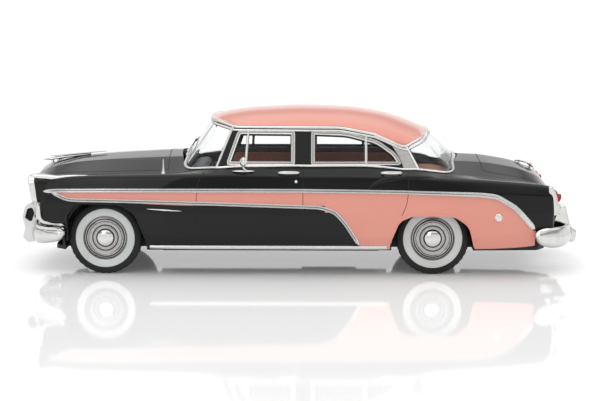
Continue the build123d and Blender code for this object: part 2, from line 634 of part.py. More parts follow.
with BuildPart() as hood_ornament:
    add(side_prism(ORNAMENT, (-1.0, 1.0)))
    add(plan_prism(ORNAMENT_PLAN, (20.0, 30.0), 0.1), mode=Mode.INTERSECT)
    add(outer, mode=Mode.SUBTRACT)
keep(hood_ornament.part, "hood_ornament")
with BuildPart() as boot_handle:
    add(side_prism(BOOT_HANDLE, (-0.5, 0.5)))
    add(outer, mode=Mode.SUBTRACT)
keep(boot_handle.part, "boot_handle")
for name, x0 in HANDLES:
    with BuildPart() as door_handle:
        add(block((x0, x0 + HANDLE_LENGTH), (-21.9, -21.4), (23.3, 23.9)))
        chamfer(door_handle.edges(), 0.2)
        for foot_x in (x0 + 0.4, x0 + HANDLE_LENGTH - 0.9):
            add(block((foot_x, foot_x + 0.5), (-21.6, -20.0), (23.4, 23.8)))
        add(outer, mode=Mode.SUBTRACT)
    keep_pair(door_handle.part, name)
with BuildPart() as door_mirror:
    add(turned_x(MIRROR_HEAD, MIRROR_Y, MIRROR_Z))
    add(rod((-11.8, -20.4, 23.0), (-12.8, MIRROR_Y, MIRROR_Z - 0.2), 0.28))
    add(outer, mode=Mode.SUBTRACT)
keep(door_mirror.part, "door_mirror")
with BuildPart() as aerial:
    with Locations((-31.0, -19.0, 23.2)):
        Cylinder(0.55, 0.8, align=BOTTOM)
        Cylinder(0.2, 3.4, align=BOTTOM)
keep(aerial.part, "aerial")

# ---------------------------------------------------------------- interior
SEAT_HALF_WIDTH = 16.4
SEAT = [(0.0, 0.0), (0.0, 3.6), (7.6, 4.2), (8.8, 13.0), (11.2, 13.2), (11.4, 0.0)]
SEAT_R = [0.3, 1.4, 0.8, 1.0, 1.0, 0.3]
DASH = [(-26.0, 17.0), (-26.0, 23.2), (-22.6, 23.4), (-21.8, 21.0), (-22.4, 17.0)]
DASH_R = [0.3, 0.6, 0.9, 0.8, 0.3]
DASH_HALF_WIDTH = 13.2
SHELF_X = (19.0, 36.0)
STEERING_HUB = (-18.2, -8.5, 21.6)
STEERING_TILT = 28
STEERING_R = 3.7
STEERING_RIM_R = 0.3

with BuildPart() as interior_tub:
    add(block(TUB_X, (-TUB_HALF_WIDTH, TUB_HALF_WIDTH), (TUB_FLOOR_Z, TUB_TOP_Z)))
    offset(amount=-TUB_WALL, openings=interior_tub.faces().sort_by(Axis.Z)[-1])
    add(block(SHELF_X, (-13.4, 13.4), (TUB_TOP_Z - TUB_WALL, TUB_TOP_Z)))
keep(interior_tub.part, "interior_tub")
for name, x in (("front_seat", -12.5), ("rear_seat", 7.2)):
    outline = [(x + dx, TUB_FLOOR_Z + TUB_WALL + dz) for dx, dz in SEAT]
    keep(side_prism(outline, (-SEAT_HALF_WIDTH, SEAT_HALF_WIDTH), SEAT_R), name)
keep(side_prism(DASH, (-DASH_HALF_WIDTH, DASH_HALF_WIDTH), DASH_R), "dashboard")
with BuildPart() as steering_wheel:
    with BuildSketch(Plane.XZ):
        with Locations((STEERING_R, 0)):
            RegularPolygon(STEERING_RIM_R, 8)
    revolve(axis=Axis.Z)
    Cylinder(0.8, 0.8)
    Box(2 * STEERING_R, 0.4, 0.3)
with BuildPart() as steering:
    with Locations(Location(STEERING_HUB, (0, -90 + STEERING_TILT, 0))):
        add(steering_wheel.part)
    add(rod((-21.2, STEERING_HUB[1], 20.0), STEERING_HUB, 0.4))
    add(NODES["dashboard"], mode=Mode.SUBTRACT)
keep(steering.part, "steering_wheel")

# ---------------------------------------------------------------- wheel wells, screw posts, base and exhaust
BASE_HALF_PLAN = [(-57.0, 0.0), (-56.0, -16.0), (-53.6, -18.4), (40.0, -18.4), (54.0, -17.6),
                  (56.0, -14.0)]
RAIL_X = (-32.0, 18.0)
RAIL_FOOT_Z = 4.3
IRON_TOP_Z = BASE_TOP_Z + 1.1
EXHAUST_X = (-12.0, 59.5)
EXHAUST_Y = 6.5
EXHAUST_Z = 5.0
EXHAUST_R = 0.6
SILENCER_X = (0.0, 13.0)
SILENCER_R = 1.3

for name, axle_x in AXLES:
    with BuildPart() as wheel_wells:
        for side in (-1, 1):
            middle_y = side * (WELL_INNER_Y - WELL_WALL + WELL_OUTER_Y) / 2
            depth = WELL_OUTER_Y - WELL_INNER_Y + WELL_WALL
            with Locations((axle_x, middle_y, TYRE_R)):
                Cylinder(WELL_R + WELL_WALL, depth, rotation=(90, 0, 0))
            with Locations((axle_x, middle_y + side * WELL_WALL, TYRE_R)):
                Cylinder(WELL_R, depth, rotation=(90, 0, 0), mode=Mode.SUBTRACT)
        add(block(LENGTHS, WIDTHS, (-5.0, BASE_TOP_Z)), mode=Mode.SUBTRACT)
        carrier_x = (axle_x - AXLE_BLOCK_HALF_LENGTH, axle_x + AXLE_BLOCK_HALF_LENGTH)
        between_wells = (-WELL_INNER_Y + WELL_WALL, WELL_INNER_Y - WELL_WALL)
        add(block(carrier_x, between_wells, (BASE_TOP_Z, AXLE_BLOCK_TOP_Z)))
        with Locations((axle_x, 0, TYRE_R)):
            Cylinder(AXLE_R + AXLE_PLAY, 2 * WELL_OUTER_Y, rotation=(90, 0, 0), mode=Mode.SUBTRACT)
    keep(wheel_wells.part, name + "_wheel_wells")

with BuildPart() as screw_posts:
    with Locations([(x, 0, BASE_Z) for x in SCREW_X]):
        Cylinder(BOSS_R, SCREW_DEPTH + BOSS_ROOF, align=BOTTOM)
        Cylinder(SCREW_R, SCREW_DEPTH, align=BOTTOM, mode=Mode.SUBTRACT)
keep(screw_posts.part, "screw_posts")

with BuildPart() as base_plate:
    add(plan_prism(mirrored_plan(BASE_HALF_PLAN), (BASE_Z, BASE_TOP_Z), 1.0))
    for _, axle_x in AXLES:
        for y in ((WIDTHS[0], -WELL_INNER_Y), (WELL_INNER_Y, WIDTHS[1])):
            add(block((axle_x - WELL_R, axle_x + WELL_R), y, (0.0, 12.0)), mode=Mode.SUBTRACT)
    for side in (-1, 1):
        add(block(RAIL_X, sorted((side * 11.0, side * 12.4)), (RAIL_FOOT_Z, BASE_Z)))
        for iron_x in ((-61.9, -54.0), (54.0, 62.2)):
            add(block(iron_x, sorted((side * 8.2, side * 9.6)), (BASE_TOP_Z, IRON_TOP_Z)))
    with Locations([(x, 0, BASE_Z) for x in SCREW_X]):
        Cylinder(BOSS_R, BASE_THICK, align=BOTTOM, mode=Mode.SUBTRACT)
    for neighbour in ("front_bumper", "rear_bumper"):
        add(NODES[neighbour], mode=Mode.SUBTRACT)
keep(base_plate.part, "base_plate")
with BuildPart() as exhaust:
    add(rod((EXHAUST_X[0], EXHAUST_Y, EXHAUST_Z), (EXHAUST_X[1], EXHAUST_Y, EXHAUST_Z), EXHAUST_R))
    silencer_z = BASE_Z - SILENCER_R
    add(rod((SILENCER_X[0], EXHAUST_Y, silencer_z), (SILENCER_X[1], EXHAUST_Y, silencer_z), SILENCER_R))
    add(base_plate.part, mode=Mode.SUBTRACT)
keep(exhaust.part, "exhaust")

# ---------------------------------------------------------------- wheel sets: (outboard, radius) profiles
TYRE = [(-TYRE_HALF_WIDTH, RIM_R), (-TREAD_HALF_WIDTH, TYRE_R), (TREAD_HALF_WIDTH, TYRE_R),
        (TYRE_HALF_WIDTH, RIM_R)]
COVER = [(RIM_HALF_WIDTH + COVER_PROUD, 0.0), (RIM_HALF_WIDTH + COVER_PROUD, 1.0), (2.0, 2.0), (1.75, 2.6),
         (1.95, 4.0), (RIM_HALF_WIDTH, RIM_R)]
RIM = [(-RIM_HALF_WIDTH, RIM_R), (-RIM_HALF_WIDTH, AXLE_R), (0.6, AXLE_R), (0.6, 0.0)]

for name, axle_x in AXLES:
    keep_pair(turned_wheel(TYRE, axle_x), name + "_tyre")
    keep_pair(turned_wheel(COVER + RIM, axle_x), name + "_wheel_disc")
    with BuildPart() as axle:
        with Locations((axle_x, 0, TYRE_R)):
            Cylinder(AXLE_R, 2 * (TYRE_CENTRE_Y + 0.6), rotation=(90, 0, 0))
    keep(axle.part, name + "_axle")

os.makedirs("parts", exist_ok=True)
for node_name, node_part in NODES.items():
    export_step(node_part, f"parts/{node_name}.step")
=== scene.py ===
"""Looks of a 1:43 two-tone sedan model. Shapes are in millimetres until `make_mesh`."""
import math
from itertools import groupby

import bmesh
import bpy
import numpy as np
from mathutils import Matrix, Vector


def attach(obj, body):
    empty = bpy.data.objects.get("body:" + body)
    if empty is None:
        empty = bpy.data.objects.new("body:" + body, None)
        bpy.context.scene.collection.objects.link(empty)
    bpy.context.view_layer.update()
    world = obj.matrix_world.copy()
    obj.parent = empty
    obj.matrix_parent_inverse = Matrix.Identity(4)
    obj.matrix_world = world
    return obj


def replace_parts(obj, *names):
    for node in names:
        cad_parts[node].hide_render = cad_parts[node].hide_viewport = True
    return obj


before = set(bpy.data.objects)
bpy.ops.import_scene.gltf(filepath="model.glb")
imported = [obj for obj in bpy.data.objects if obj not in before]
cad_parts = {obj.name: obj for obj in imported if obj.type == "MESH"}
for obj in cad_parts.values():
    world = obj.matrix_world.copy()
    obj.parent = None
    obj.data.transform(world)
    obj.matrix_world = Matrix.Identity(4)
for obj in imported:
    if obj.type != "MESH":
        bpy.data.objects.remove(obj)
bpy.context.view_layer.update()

MM = 0.001
CAR, FRONT, REAR = "car", "front_wheels", "rear_wheels"
FRONT_AXLE_X, REAR_AXLE_X = -44.35, 30.05
TYRE_R, TYRE_CENTRE_Y = 8.3, 17.5
SIDES = (("left", -1), ("right", 1))

# ---------------------------------------------------------------- driving curves
# Stations of the lower body, nose to tail: x, (y, z) of seven corners of a half section, the middle's z.
#     x      sill        low         widest      shoulder    crown       valley      deck        top
BODY_ROWS = np.array([
    (-62.4, 20.2, 11.6, 21.0, 13.5, 21.5, 16.5, 21.2, 19.4, 20.2, 21.7, 15.2, 20.9, 8.0, 20.8, 21.1),
    (-60.6, 20.4, 11.6, 21.2, 13.5, 21.7, 16.5, 21.4, 19.4, 20.5, 22.0, 15.4, 21.7, 8.2, 22.5, 22.9),
    (-57.5, 20.8, 11.6, 21.6, 13.5, 22.1, 16.5, 21.8, 19.4, 20.9, 22.3, 15.6, 22.2, 8.3, 23.6, 24.0),
    (-52.0, 21.0, 10.6, 22.1, 13.0, 22.6, 16.0, 22.2, 19.5, 21.1, 22.6, 15.9, 22.5, 8.6, 24.5, 25.1),
    (-44.0, 21.0, 9.0, 22.2, 12.0, 22.8, 15.5, 22.4, 19.6, 21.2, 22.8, 16.1, 22.7, 9.0, 25.1, 25.8),
    (-34.0, 21.2, 6.2, 22.4, 9.5, 22.9, 14.5, 22.4, 19.6, 21.3, 23.0, 16.4, 22.9, 9.5, 25.6, 26.4),
    (-26.0, 21.2, 5.9, 22.4, 9.0, 22.9, 14.0, 22.3, 19.6, 21.3, 23.1, 17.2, 23.3, 9.8, 25.9, 26.7),
    (-17.0, 21.2, 5.9, 22.4, 9.0, 22.9, 14.0, 22.2, 19.6, 21.2, 22.9, 19.4, 24.5, 10.0, 25.6, 26.1),
    (0.0, 21.2, 5.9, 22.4, 9.0, 22.9, 14.0, 22.2, 19.5, 21.4, 22.5, 19.7, 24.8, 10.0, 25.2, 25.4),
    (15.0, 21.2, 5.9, 22.4, 9.0, 22.9, 14.0, 22.2, 19.3, 21.4, 22.4, 19.6, 24.7, 10.0, 25.2, 25.4),
    (25.0, 21.1, 6.0, 22.5, 9.0, 23.0, 14.0, 22.5, 19.2, 21.6, 22.5, 18.6, 24.2, 10.0, 25.3, 25.6),
    (33.0, 21.0, 6.2, 22.5, 9.0, 23.0, 14.0, 22.5, 19.0, 21.5, 22.2, 17.4, 22.9, 9.8, 25.0, 25.9),
    (42.0, 20.8, 6.0, 22.3, 9.2, 22.9, 14.0, 22.3, 18.8, 21.2, 21.8, 16.8, 22.0, 9.4, 24.6, 25.6),
    (50.0, 20.4, 6.35, 21.8, 9.8, 22.4, 14.0, 21.9, 18.5, 20.8, 21.2, 16.2, 21.2, 8.8, 23.3, 24.2),
    (55.0, 19.9, 7.0, 21.2, 10.4, 21.9, 14.0, 21.4, 18.2, 20.4, 20.8, 15.6, 20.1, 8.4, 21.4, 21.9),
    (57.4, 19.6, 7.8, 20.8, 10.8, 21.4, 14.0, 21.0, 18.0, 20.0, 20.4, 15.2, 18.2, 8.0, 18.8, 19.1),
])
NOSE_X, TAIL_X = BODY_ROWS[0, 0], BODY_ROWS[-1, 0]
CORNER_R = [0.8, 3.0, 6.0, 4.0, 1.1, 1.4, 6.0, 9.0]
END_ROUND = 0.9
WALL = 1.3
# How far the nose is swept back, (distance from the middle, setback), and where the sweep has faded out.
NOSE_SWEEP = [(0.0, 0.0), (4.0, 0.11), (8.0, 0.44), (12.0, 1.0), (16.0, 1.78), (18.6, 2.4), (20.2, 3.1),
              (21.5, 4.3), (23.5, 6.4)]
SWEEP_END_X = -49.5

# The salmon side colour lies between these two lines of (x, z), outboard of COLOUR_SPLIT_Y.
SWEEP_TOP = [(-58.1, 19.14), (-54.1, 19.38), (-45.0, 19.49), (0.0, 19.5), (22.5, 19.25), (40.4, 18.68),
             (44.2, 18.24), (48.3, 15.87), (50.6, 13.49), (52.9, 10.77)]
SWEEP_LOW = [(-56.25, 18.98), (-54.9, 18.53), (-53.6, 17.79), (-51.8, 17.36), (-45.0, 17.28), (-33.7, 16.99),
             (-22.5, 16.66), (0.0, 15.94), (4.5, 15.81), (7.9, 14.71), (10.1, 12.33), (13.5, 6.99)]
COLOUR_SPLIT_Y = 15.0
# Wheel arches, drawn from their axle's x, with a radius for each corner.
FRONT_ARCH = [(-8.55, 2.0), (-8.55, 13.9), (-5.95, 16.7), (3.6, 16.5), (7.15, 14.4), (10.05, 7.0), (10.05,
              2.0)]
REAR_ARCH = [(-9.85, 2.0), (-9.65, 8.2), (-7.75, 12.8), (-4.6, 14.1), (4.75, 14.0), (8.2, 11.6), (9.45, 6.6),
             (9.45, 2.0)]
ARCHES = ((FRONT_AXLE_X, FRONT_ARCH, [0.5, 2.2, 2.6, 3.0, 5.0, 2.0, 0.5]),
          (REAR_AXLE_X, REAR_ARCH, [0.5, 3.0, 3.0, 3.0, 4.5, 4.0, 2.0, 0.5]))
GRILLE = [(-19.2, 12.6), (19.2, 12.6), (19.2, 15.4), (13.6, 15.8), (12.6, 18.6), (-12.6, 18.6), (-13.6, 15.8),
          (-19.2, 15.4)]

# Half plan of the glasshouse, front to rear: at the belt, at the height aimed for, corner radius.
GLASS_ROWS = [((-28.5, 0.0), (-18.4, 0.0), 60.0), ((-26.6, 15.6), (-17.0, 9.6), 4.5), ((-18.0, 19.4),
              (-12.9, 13.2), 9.0), ((2.0, 19.75), (2.0, 13.9), 60.0), ((23.5, 19.2), (16.5, 13.3), 9.0),
              ((33.6, 16.4), (20.6, 10.6), 5.0), ((38.8, 0.0), (21.8, 0.0), 30.0)]
BELT_Z, AIM_Z, CABIN_OPENING_Z = 24.4, 38.6, 26.2
AIM_RADIUS_SHARE = 0.62
ROOF_EDGE = [(-24.0, 36.2), (-20.7, 34.9), (-15.0, 33.4), (9.0, 33.3), (16.9, 31.8), (22.0, 29.5), (23.6,
             28.9), (25.0, 29.6), (29.6, 31.8), (34.0, 34.2)]
#            x      top z  arch radius
ROOF_ROWS = [(-27.0, 32.9, 44.0), (-18.8, 35.6, 42.0), (-12.2, 36.6, 40.0), (-0.4, 37.2, 40.0),
             (11.4, 36.85, 40.0), (20.0, 35.5, 38.0), (29.2, 32.0, 36.0), (37.0, 27.6, 36.0)]
FRONT_WINDOW = [(-16.9, 24.9), (-14.2, 32.55), (-1.2, 32.5), (-1.2, 24.9)]
REAR_WINDOW = [(2.45, 24.9), (2.45, 32.5), (10.5, 32.2), (17.6, 30.4), (21.6, 27.6), (23.2, 24.9)]
WINDOWS = (("front_window", FRONT_WINDOW, [0.5, 1.3, 0.5, 0.4]),
           ("rear_window", REAR_WINDOW, [0.4, 0.5, 14.0, 8.0, 5.0, 0.5]))
WINDOW_TOPS = [FRONT_WINDOW[1]] + REAR_WINDOW[1:]
SCREEN_X, REAR_GLASS_X = -17.6, 25.4


# ---------------------------------------------------------------- curve helpers
def smoothed(xs, ys, at, spread=2.2):
    """The line through a table, softened over a few millimetres either way."""
    xs, ys, at = (np.asarray(values, float) for values in (xs, ys, at))
    xs = np.concatenate(([2 * xs[0] - xs[1]], xs, [2 * xs[-1] - xs[-2]]))
    ys = np.concatenate(([2 * ys[0] - ys[1]], ys, [2 * ys[-1] - ys[-2]]))
    steps = np.linspace(-2, 2, 9)
    weights = np.exp(-steps**2)
    return sum(w * np.interp(at + spread * s, xs, ys) for s, w in zip(steps, weights)) / weights.sum()


def averaged(rows, passes):
    """Rows eased by averaging each with its neighbours, ends kept."""
    for _ in range(passes):
        rows[1:-1] = 0.25 * rows[:-2] + 0.5 * rows[1:-1] + 0.25 * rows[2:]
    return rows


def unit(vectors):
    """Vectors brought to length 1."""
    return vectors / np.maximum(np.linalg.norm(vectors, axis=-1, keepdims=True), 1e-9)


def directions(points, closed=False):
    """The direction of a line at each of its points."""
    if closed:
        return unit(np.roll(points, -1, axis=0) - np.roll(points, 1, axis=0))
    return unit(np.gradient(points, axis=0))


def circle(steps, start=0.0):
    """Even angles once round."""
    return np.linspace(start, start + 2 * math.pi, steps, endpoint=False)


def rounded(corners, radii, arc_steps=6, line_steps=1):
    """Points along a polygon with each corner turned into an arc; the count doesn't depend on the shape."""
    corners = [np.array(c, float) for c in corners]
    chain = []
    neighbours = zip(corners, corners[-1:] + corners, corners[1:] + corners[:1], radii)
    for corner, before, after, radius in neighbours:
        lengths = np.linalg.norm(before - corner), np.linalg.norm(after - corner)
        u, v = (before - corner) / lengths[0], (after - corner) / lengths[1]
        half = math.acos(max(-1.0, min(1.0, float(u @ v)))) / 2
        reach = min(radius / math.tan(half), 0.49 * lengths[0], 0.49 * lengths[1])
        start, end = corner + u * reach, corner + v * reach
        weight = math.sin(half)
        arc = []
        for s in np.linspace(0, 1, arc_steps + 1):
            a, b, c = (1 - s) ** 2, 2 * s * (1 - s) * weight, s**2
            arc.append((a * start + b * corner + c * end) / (a + b + c))
        chain.append(arc)
    points = []
    for arc, follow in zip(chain, chain[1:] + chain[:1]):
        points.extend(arc)
        points.extend(arc[-1] + (follow[0] - arc[-1]) * s for s in np.linspace(0, 1, line_steps + 1)[1:-1])
    return np.array(points)


def even(points, step, closed=False):
    """The same line with points at even distances."""
    points = np.asarray(points, float)
    if closed:
        points = np.vstack([points, points[:1]])
    lengths = np.concatenate([[0], np.cumsum(np.linalg.norm(np.diff(points, axis=0), axis=1))])
    at = np.linspace(0, lengths[-1], max(2, int(round(lengths[-1] / step)) + 1))
    out = np.stack([np.interp(at, lengths, column) for column in points.T], axis=1)
    return out[:-1] if closed else out


def soft_line(points, step=0.4, passes=6):
    """A line through points with its corners eased."""
    return averaged(even(points, step), passes)


def densified(table, steps):
    """A table of stations with more rows, eased between the given ones."""
    table = np.asarray(table, float)
    at = np.linspace(0, len(table) - 1, (len(table) - 1) * steps + 1)
    rows = np.array([[np.interp(t, range(len(table)), column) for column in table.T] for t in at])
    return averaged(rows, steps)


def mirrored(points, side):
    """Points drawn with Y outboard, moved to one side of the car."""
    return np.asarray(points, float) * (1, side, 1)


def shrink(ring, inset):
    """A closed outline moved inwards by a distance."""
    along = directions(ring, closed=True)
    return ring + np.stack([-along[:, 1], along[:, 0]], axis=1) * inset


def superoval(x, y, z, half_y, half_z, power=2.5):
    """A closed rounded outline across the car at x."""
    def squared(value):
        return math.copysign(abs(value) ** (2 / power), value)

    return [(x, y + half_y * squared(math.cos(a)), z + half_z * squared(math.sin(a))) for a in circle(28)]


# ---------------------------------------------------------------- materials
def wire(tree, node, inputs):
    """Fills a node's inputs: a socket is linked, anything else becomes the input's own value."""
    for key, value in inputs.items():
        if isinstance(value, bpy.types.NodeSocket):
            tree.links.new(value, node.inputs[key])
        else:
            node.inputs[key].default_value = value
    return node


def add_node(tree, kind, inputs=None):
    """A new shader node with its inputs filled."""
    return wire(tree, tree.nodes.new("ShaderNode" + kind), inputs or {})


def new_material(name):
    """(material, its node tree, its Principled node)."""
    material = bpy.data.materials.new(name)
    material.use_nodes = True
    return material, material.node_tree, material.node_tree.nodes["Principled BSDF"]


def noise(tree, scale, detail=4.0, roughness=0.5, stretch=None):
    """A noise value in object space; the scale is in features per metre."""
    place = add_node(tree, "TexCoord").outputs["Object"]
    if stretch:
        place = add_node(tree, "Mapping", {"Vector": place, "Scale": stretch}).outputs["Vector"]
    texture = {"Vector": place, "Scale": scale, "Detail": detail, "Roughness": roughness}
    return add_node(tree, "TexNoise", texture).outputs["Fac"]


def spread(tree, source, low, high):
    """Maps a 0 to 1 value onto a range."""
    return add_node(tree, "MapRange", {"Value": source, "To Min": low, "To Max": high}).outputs["Result"]


def tint(tree, source, low, high):
    """Maps a 0 to 1 value onto a colour range; a colour may be one number for a grey."""
    node = add_node(tree, "ValToRGB", {"Fac": source})
    for element, position, colour in zip(node.color_ramp.elements, (0.3, 0.7), (low, high)):
        element.position = position
        element.color = (*np.broadcast_to(colour, 3), 1)
    return node.outputs["Color"]


def bump(tree, source, distance, strength):
    """Relief of a given depth in metres."""
    node = add_node(tree, "Bump", {"Height": source, "Distance": distance, "Strength": strength})
    return node.outputs["Normal"]


def paint(name, low, high, coat=0.9):
    """Sprayed gloss enamel: slight colour drift, orange peel and fine dust in the gloss."""
    material, tree, shader = new_material(name)
    wire(tree, shader, {
        "Base Color": tint(tree, noise(tree, 60, 3), low, high),
        "Roughness": spread(tree, noise(tree, 2600, 5, 0.7), 0.16, 0.30),
        "Specular IOR Level": 0.06, "Coat Weight": coat, "Coat Roughness": 0.03, "Coat IOR": 1.37,
        "Normal": bump(tree, noise(tree, 900, 2), 0.000012, 0.25)})
    return material


def metal(name, low, high, rough, grain, stretch=None, depth=0.000004):
    """Plated or etched metal with a fine grain in its gloss."""
    material, tree, shader = new_material(name)
    fine = noise(tree, grain, 5, 0.6, stretch)
    wire(tree, shader, {"Metallic": 1.0, "Base Color": tint(tree, fine, low, high),
                        "Roughness": spread(tree, fine, *rough), "Normal": bump(tree, fine, depth, 0.4)})
    return material


def plastic(name, low, high, rough, grain=1800, depth=0.00001, specular=0.4):
    """Moulded plastic or rubber with a light skin texture."""
    material, tree, shader = new_material(name)
    fine = noise(tree, grain, 4, 0.6)
    wire(tree, shader, {"Base Color": tint(tree, noise(tree, 140, 3), low, high),
                        "Roughness": spread(tree, fine, *rough), "Specular IOR Level": specular,
                        "Normal": bump(tree, fine, depth, 0.5)})
    return material


def clear(name, colour, roughness=0.03, ior=1.49, wave=0.000006, haze=0.0):
    """Clear moulded plastic that lets the light through to what is behind it."""
    material, tree, shader = new_material(name)
    wire(tree, shader, {"Base Color": (*colour, 1), "Roughness": roughness, "Transmission Weight": 1.0 - haze,
                        "IOR": ior, "Normal": bump(tree, noise(tree, 260, 2), wave, 0.2)})
    passing = add_node(tree, "BsdfTransparent", {"Color": (*[0.4 + 0.6 * c for c in colour], 1)})
    mix = add_node(tree, "MixShader", {"Fac": add_node(tree, "LightPath").outputs["Is Shadow Ray"],
                                       1: shader.outputs["BSDF"], 2: passing.outputs["BSDF"]})
    wire(tree, tree.nodes["Material Output"], {"Surface": mix.outputs["Shader"]})
    return material


BLACK = paint("black_enamel", (0.0035, 0.0035, 0.004), (0.005, 0.005, 0.0055), 0.7)
SALMON = paint("salmon_enamel", (0.70, 0.285, 0.225), (0.73, 0.305, 0.24))
CHROME = metal("plated_chrome", (0.60, 0.595, 0.58), (0.70, 0.695, 0.68), (0.05, 0.12), 700)
COVER = metal("wheel_cover_metal", (0.34, 0.335, 0.33), (0.44, 0.435, 0.43), (0.14, 0.26), 1600)
ETCHED = metal("etched_bright_metal", (0.60, 0.595, 0.58), (0.74, 0.735, 0.72), (0.14, 0.26), 2200)
BRUSHED = metal("brushed_metal", (0.30, 0.29, 0.27), (0.44, 0.43, 0.405), (0.28, 0.42), 900, (1, 1, 9),
                0.00001)
STEEL = metal("axle_steel", (0.42, 0.42, 0.43), (0.55, 0.55, 0.56), (0.25, 0.4), 1800)
TRIM_LINE = plastic("trim_line_grey", 0.10, 0.14, (0.4, 0.55))
# Also the dark sheet in each front guard's eye, which is painted shade.
SHADOW_LINE = plastic("panel_gap", 0.004, 0.007, (0.6, 0.8))
SALMON_LINE = plastic("panel_gap_salmon", (0.16, 0.06, 0.05), (0.20, 0.08, 0.06), (0.5, 0.7))
SEAL = plastic("black_seal", 0.010, 0.018, (0.35, 0.5))
TYRE_RUBBER = plastic("tyre_rubber", 0.012, 0.02, (0.5, 0.7), 2500, 0.00002, 0.3)
WHITEWALL = plastic("whitewall_rubber", (0.56, 0.585, 0.57), (0.64, 0.665, 0.65), (0.42, 0.55), 2000,
                    0.000008, 0.3)
BASE = plastic("base_plastic", 0.014, 0.022, (0.45, 0.65))
CABIN = plastic("cabin_brown", (0.26, 0.082, 0.034), (0.33, 0.105, 0.046), (0.45, 0.6))
SEAT_CLOTH = plastic("seat_brown", (0.13, 0.046, 0.026), (0.18, 0.066, 0.038), (0.5, 0.65), 2600, 0.00002)
NAVY = plastic("cabin_navy", (0.012, 0.015, 0.026), (0.018, 0.022, 0.036), (0.4, 0.55))
GLASS = clear("clear_glazing", (0.97, 0.985, 0.99), ior=1.22)
LAMP_GLASS = clear("lamp_glass", (0.90, 0.91, 0.90), 0.05, 1.49, 0.00004, 0.5)
RED_GLASS = clear("red_lens", (0.75, 0.02, 0.015), 0.08)
PARKING_GLASS = clear("parking_lens", (0.88, 0.86, 0.80), 0.1, haze=0.5)
# The solids that stay in view, and what they are made of.
NODE_LOOKS = {"base_plate": BASE, "screw_posts": BASE, "front_wheel_wells": BASE, "rear_wheel_wells": BASE,
              "interior_tub": CABIN, "exhaust": BRUSHED, "front_axle": STEEL, "rear_axle": STEEL}


# ---------------------------------------------------------------- mesh helpers
# Where (along one way, along the other, off the drawing) lands, for drawings seen along each axis.
PLACE = {"X": lambda a, b, t: (t, a, b), "Y": lambda a, b, t: (a, t, b), "Z": lambda a, b, t: (a, b, t)}


def mend(mesh, merge=0.0, sharp=None):
    """Merges points closer than a distance in metres, turns the faces outwards and sets the smoothing."""
    bm = bmesh.new()
    bm.from_mesh(mesh)
    if merge:
        bmesh.ops.remove_doubles(bm, verts=bm.verts, dist=merge)
    bmesh.ops.recalc_face_normals(bm, faces=bm.faces)
    bm.to_mesh(mesh)
    bm.free()
    if sharp:
        smooth_faces(mesh)
        mesh.set_sharp_from_angle(angle=math.radians(sharp))


def smooth_faces(mesh):
    """Shades every face smooth."""
    mesh.polygons.foreach_set("use_smooth", [True] * len(mesh.polygons))


def dress(obj, material, body=CAR):
    """Gives a piece its material and the body it rides on."""
    obj.data.materials.append(material)
    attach(obj, body)
    return obj


def make_mesh(name, verts, faces, material=None, body=CAR, sharp=None):
    """A mesh from points in millimetres: a piece of the car, or a bare shape where no material is given."""
    mesh = bpy.data.meshes.new(name)
    mesh.from_pydata([tuple(float(c) * MM for c in v) for v in verts], [], faces)
    mesh.validate()
    mend(mesh, sharp=sharp)
    obj = bpy.data.objects.new(name, mesh)
    bpy.context.scene.collection.objects.link(obj)
    return dress(obj, material, body) if material else obj


def skin(name, rings, material=None, body=CAR, sharp=40, side=1, closed_ring=True, caps=True,
         closed_path=False):
    """A skin through rings of equal length; side -1 mirrors it."""
    rings = [mirrored(ring, side) for ring in rings]
    n = len(rings[0])
    faces = []
    for i in range(len(rings) if closed_path else len(rings) - 1):
        a, b = i * n, ((i + 1) % len(rings)) * n
        for j in range(n if closed_ring else n - 1):
            k = (j + 1) % n
            faces.append((a + j, a + k, b + k, b + j))
    if caps and closed_ring and not closed_path:
        faces.append(tuple(range(n)))
        faces.append(tuple(range((len(rings) - 1) * n, len(rings) * n)))
    return make_mesh(name, np.vstack(rings), faces, material, body, sharp)


def ribbon(name, points, normals, profile, material, closed=False, taper=0.0, sizes=(1.0, 1.0)):
    """A strip swept along a line on a surface; the profile is (across, proud) pairs, with sizes along it."""
    count = len(points)
    along = directions(points, closed)
    across = unit(np.cross(along, unit(normals)))
    proud = np.cross(across, along)
    rings = []
    for i in range(count):
        scale = float(np.interp(i / (count - 1), np.linspace(0, 1, len(sizes)), sizes))
        if taper and not closed:
            scale *= min(1.0, math.sqrt(max(0.02, min(i, count - 1 - i) / taper)))
        rings.append([points[i] + across[i] * a * scale + proud[i] * (b * scale if b > 0 else b)
                      for a, b in profile])
    return skin(name, rings, material, sharp=35, closed_path=closed)


def half_round(width, height, sink=0.12, steps=8):
    """A domed strip section."""
    arc = [(-math.cos(a) * width / 2, math.sin(a) * height) for a in np.linspace(0, math.pi, steps + 1)]
    return [(-width / 2, -sink)] + arc + [(width / 2, -sink)]


def channel(width, height, lip=0.2, sink=0.12, floor=0.35):
    """A strip section with two raised lips and a shallow channel between."""
    w = width / 2
    half = [(-w, -sink), (-w, height * 0.75), (-w + lip * 0.3, height), (-w + lip * 0.8, height),
            (-w + lip * 1.2, height * floor)]
    return half + [(-a, b) for a, b in half[::-1]]


def flat_strip(width, proud=0.02, sink=0.1):
    """A thin flat strip section, for a marked line."""
    return [(-width / 2, -sink), (-width / 2, proud), (width / 2, proud), (width / 2, -sink)]


def prism(name, outline, low, high, axis="Y"):
    """A bare prism: an outline drawn along an axis, between two places on it."""
    rings = [[PLACE[axis](a, b, t) for a, b in outline] for t in (low, high)]
    return skin(name, rings, sharp=None)


def apply_modifiers(obj):
    """Bakes an object's modifiers into its mesh."""
    bpy.context.view_layer.update()
    baked = bpy.data.meshes.new_from_object(obj.evaluated_get(bpy.context.evaluated_depsgraph_get()))
    obj.modifiers.clear()
    obj.data = baked


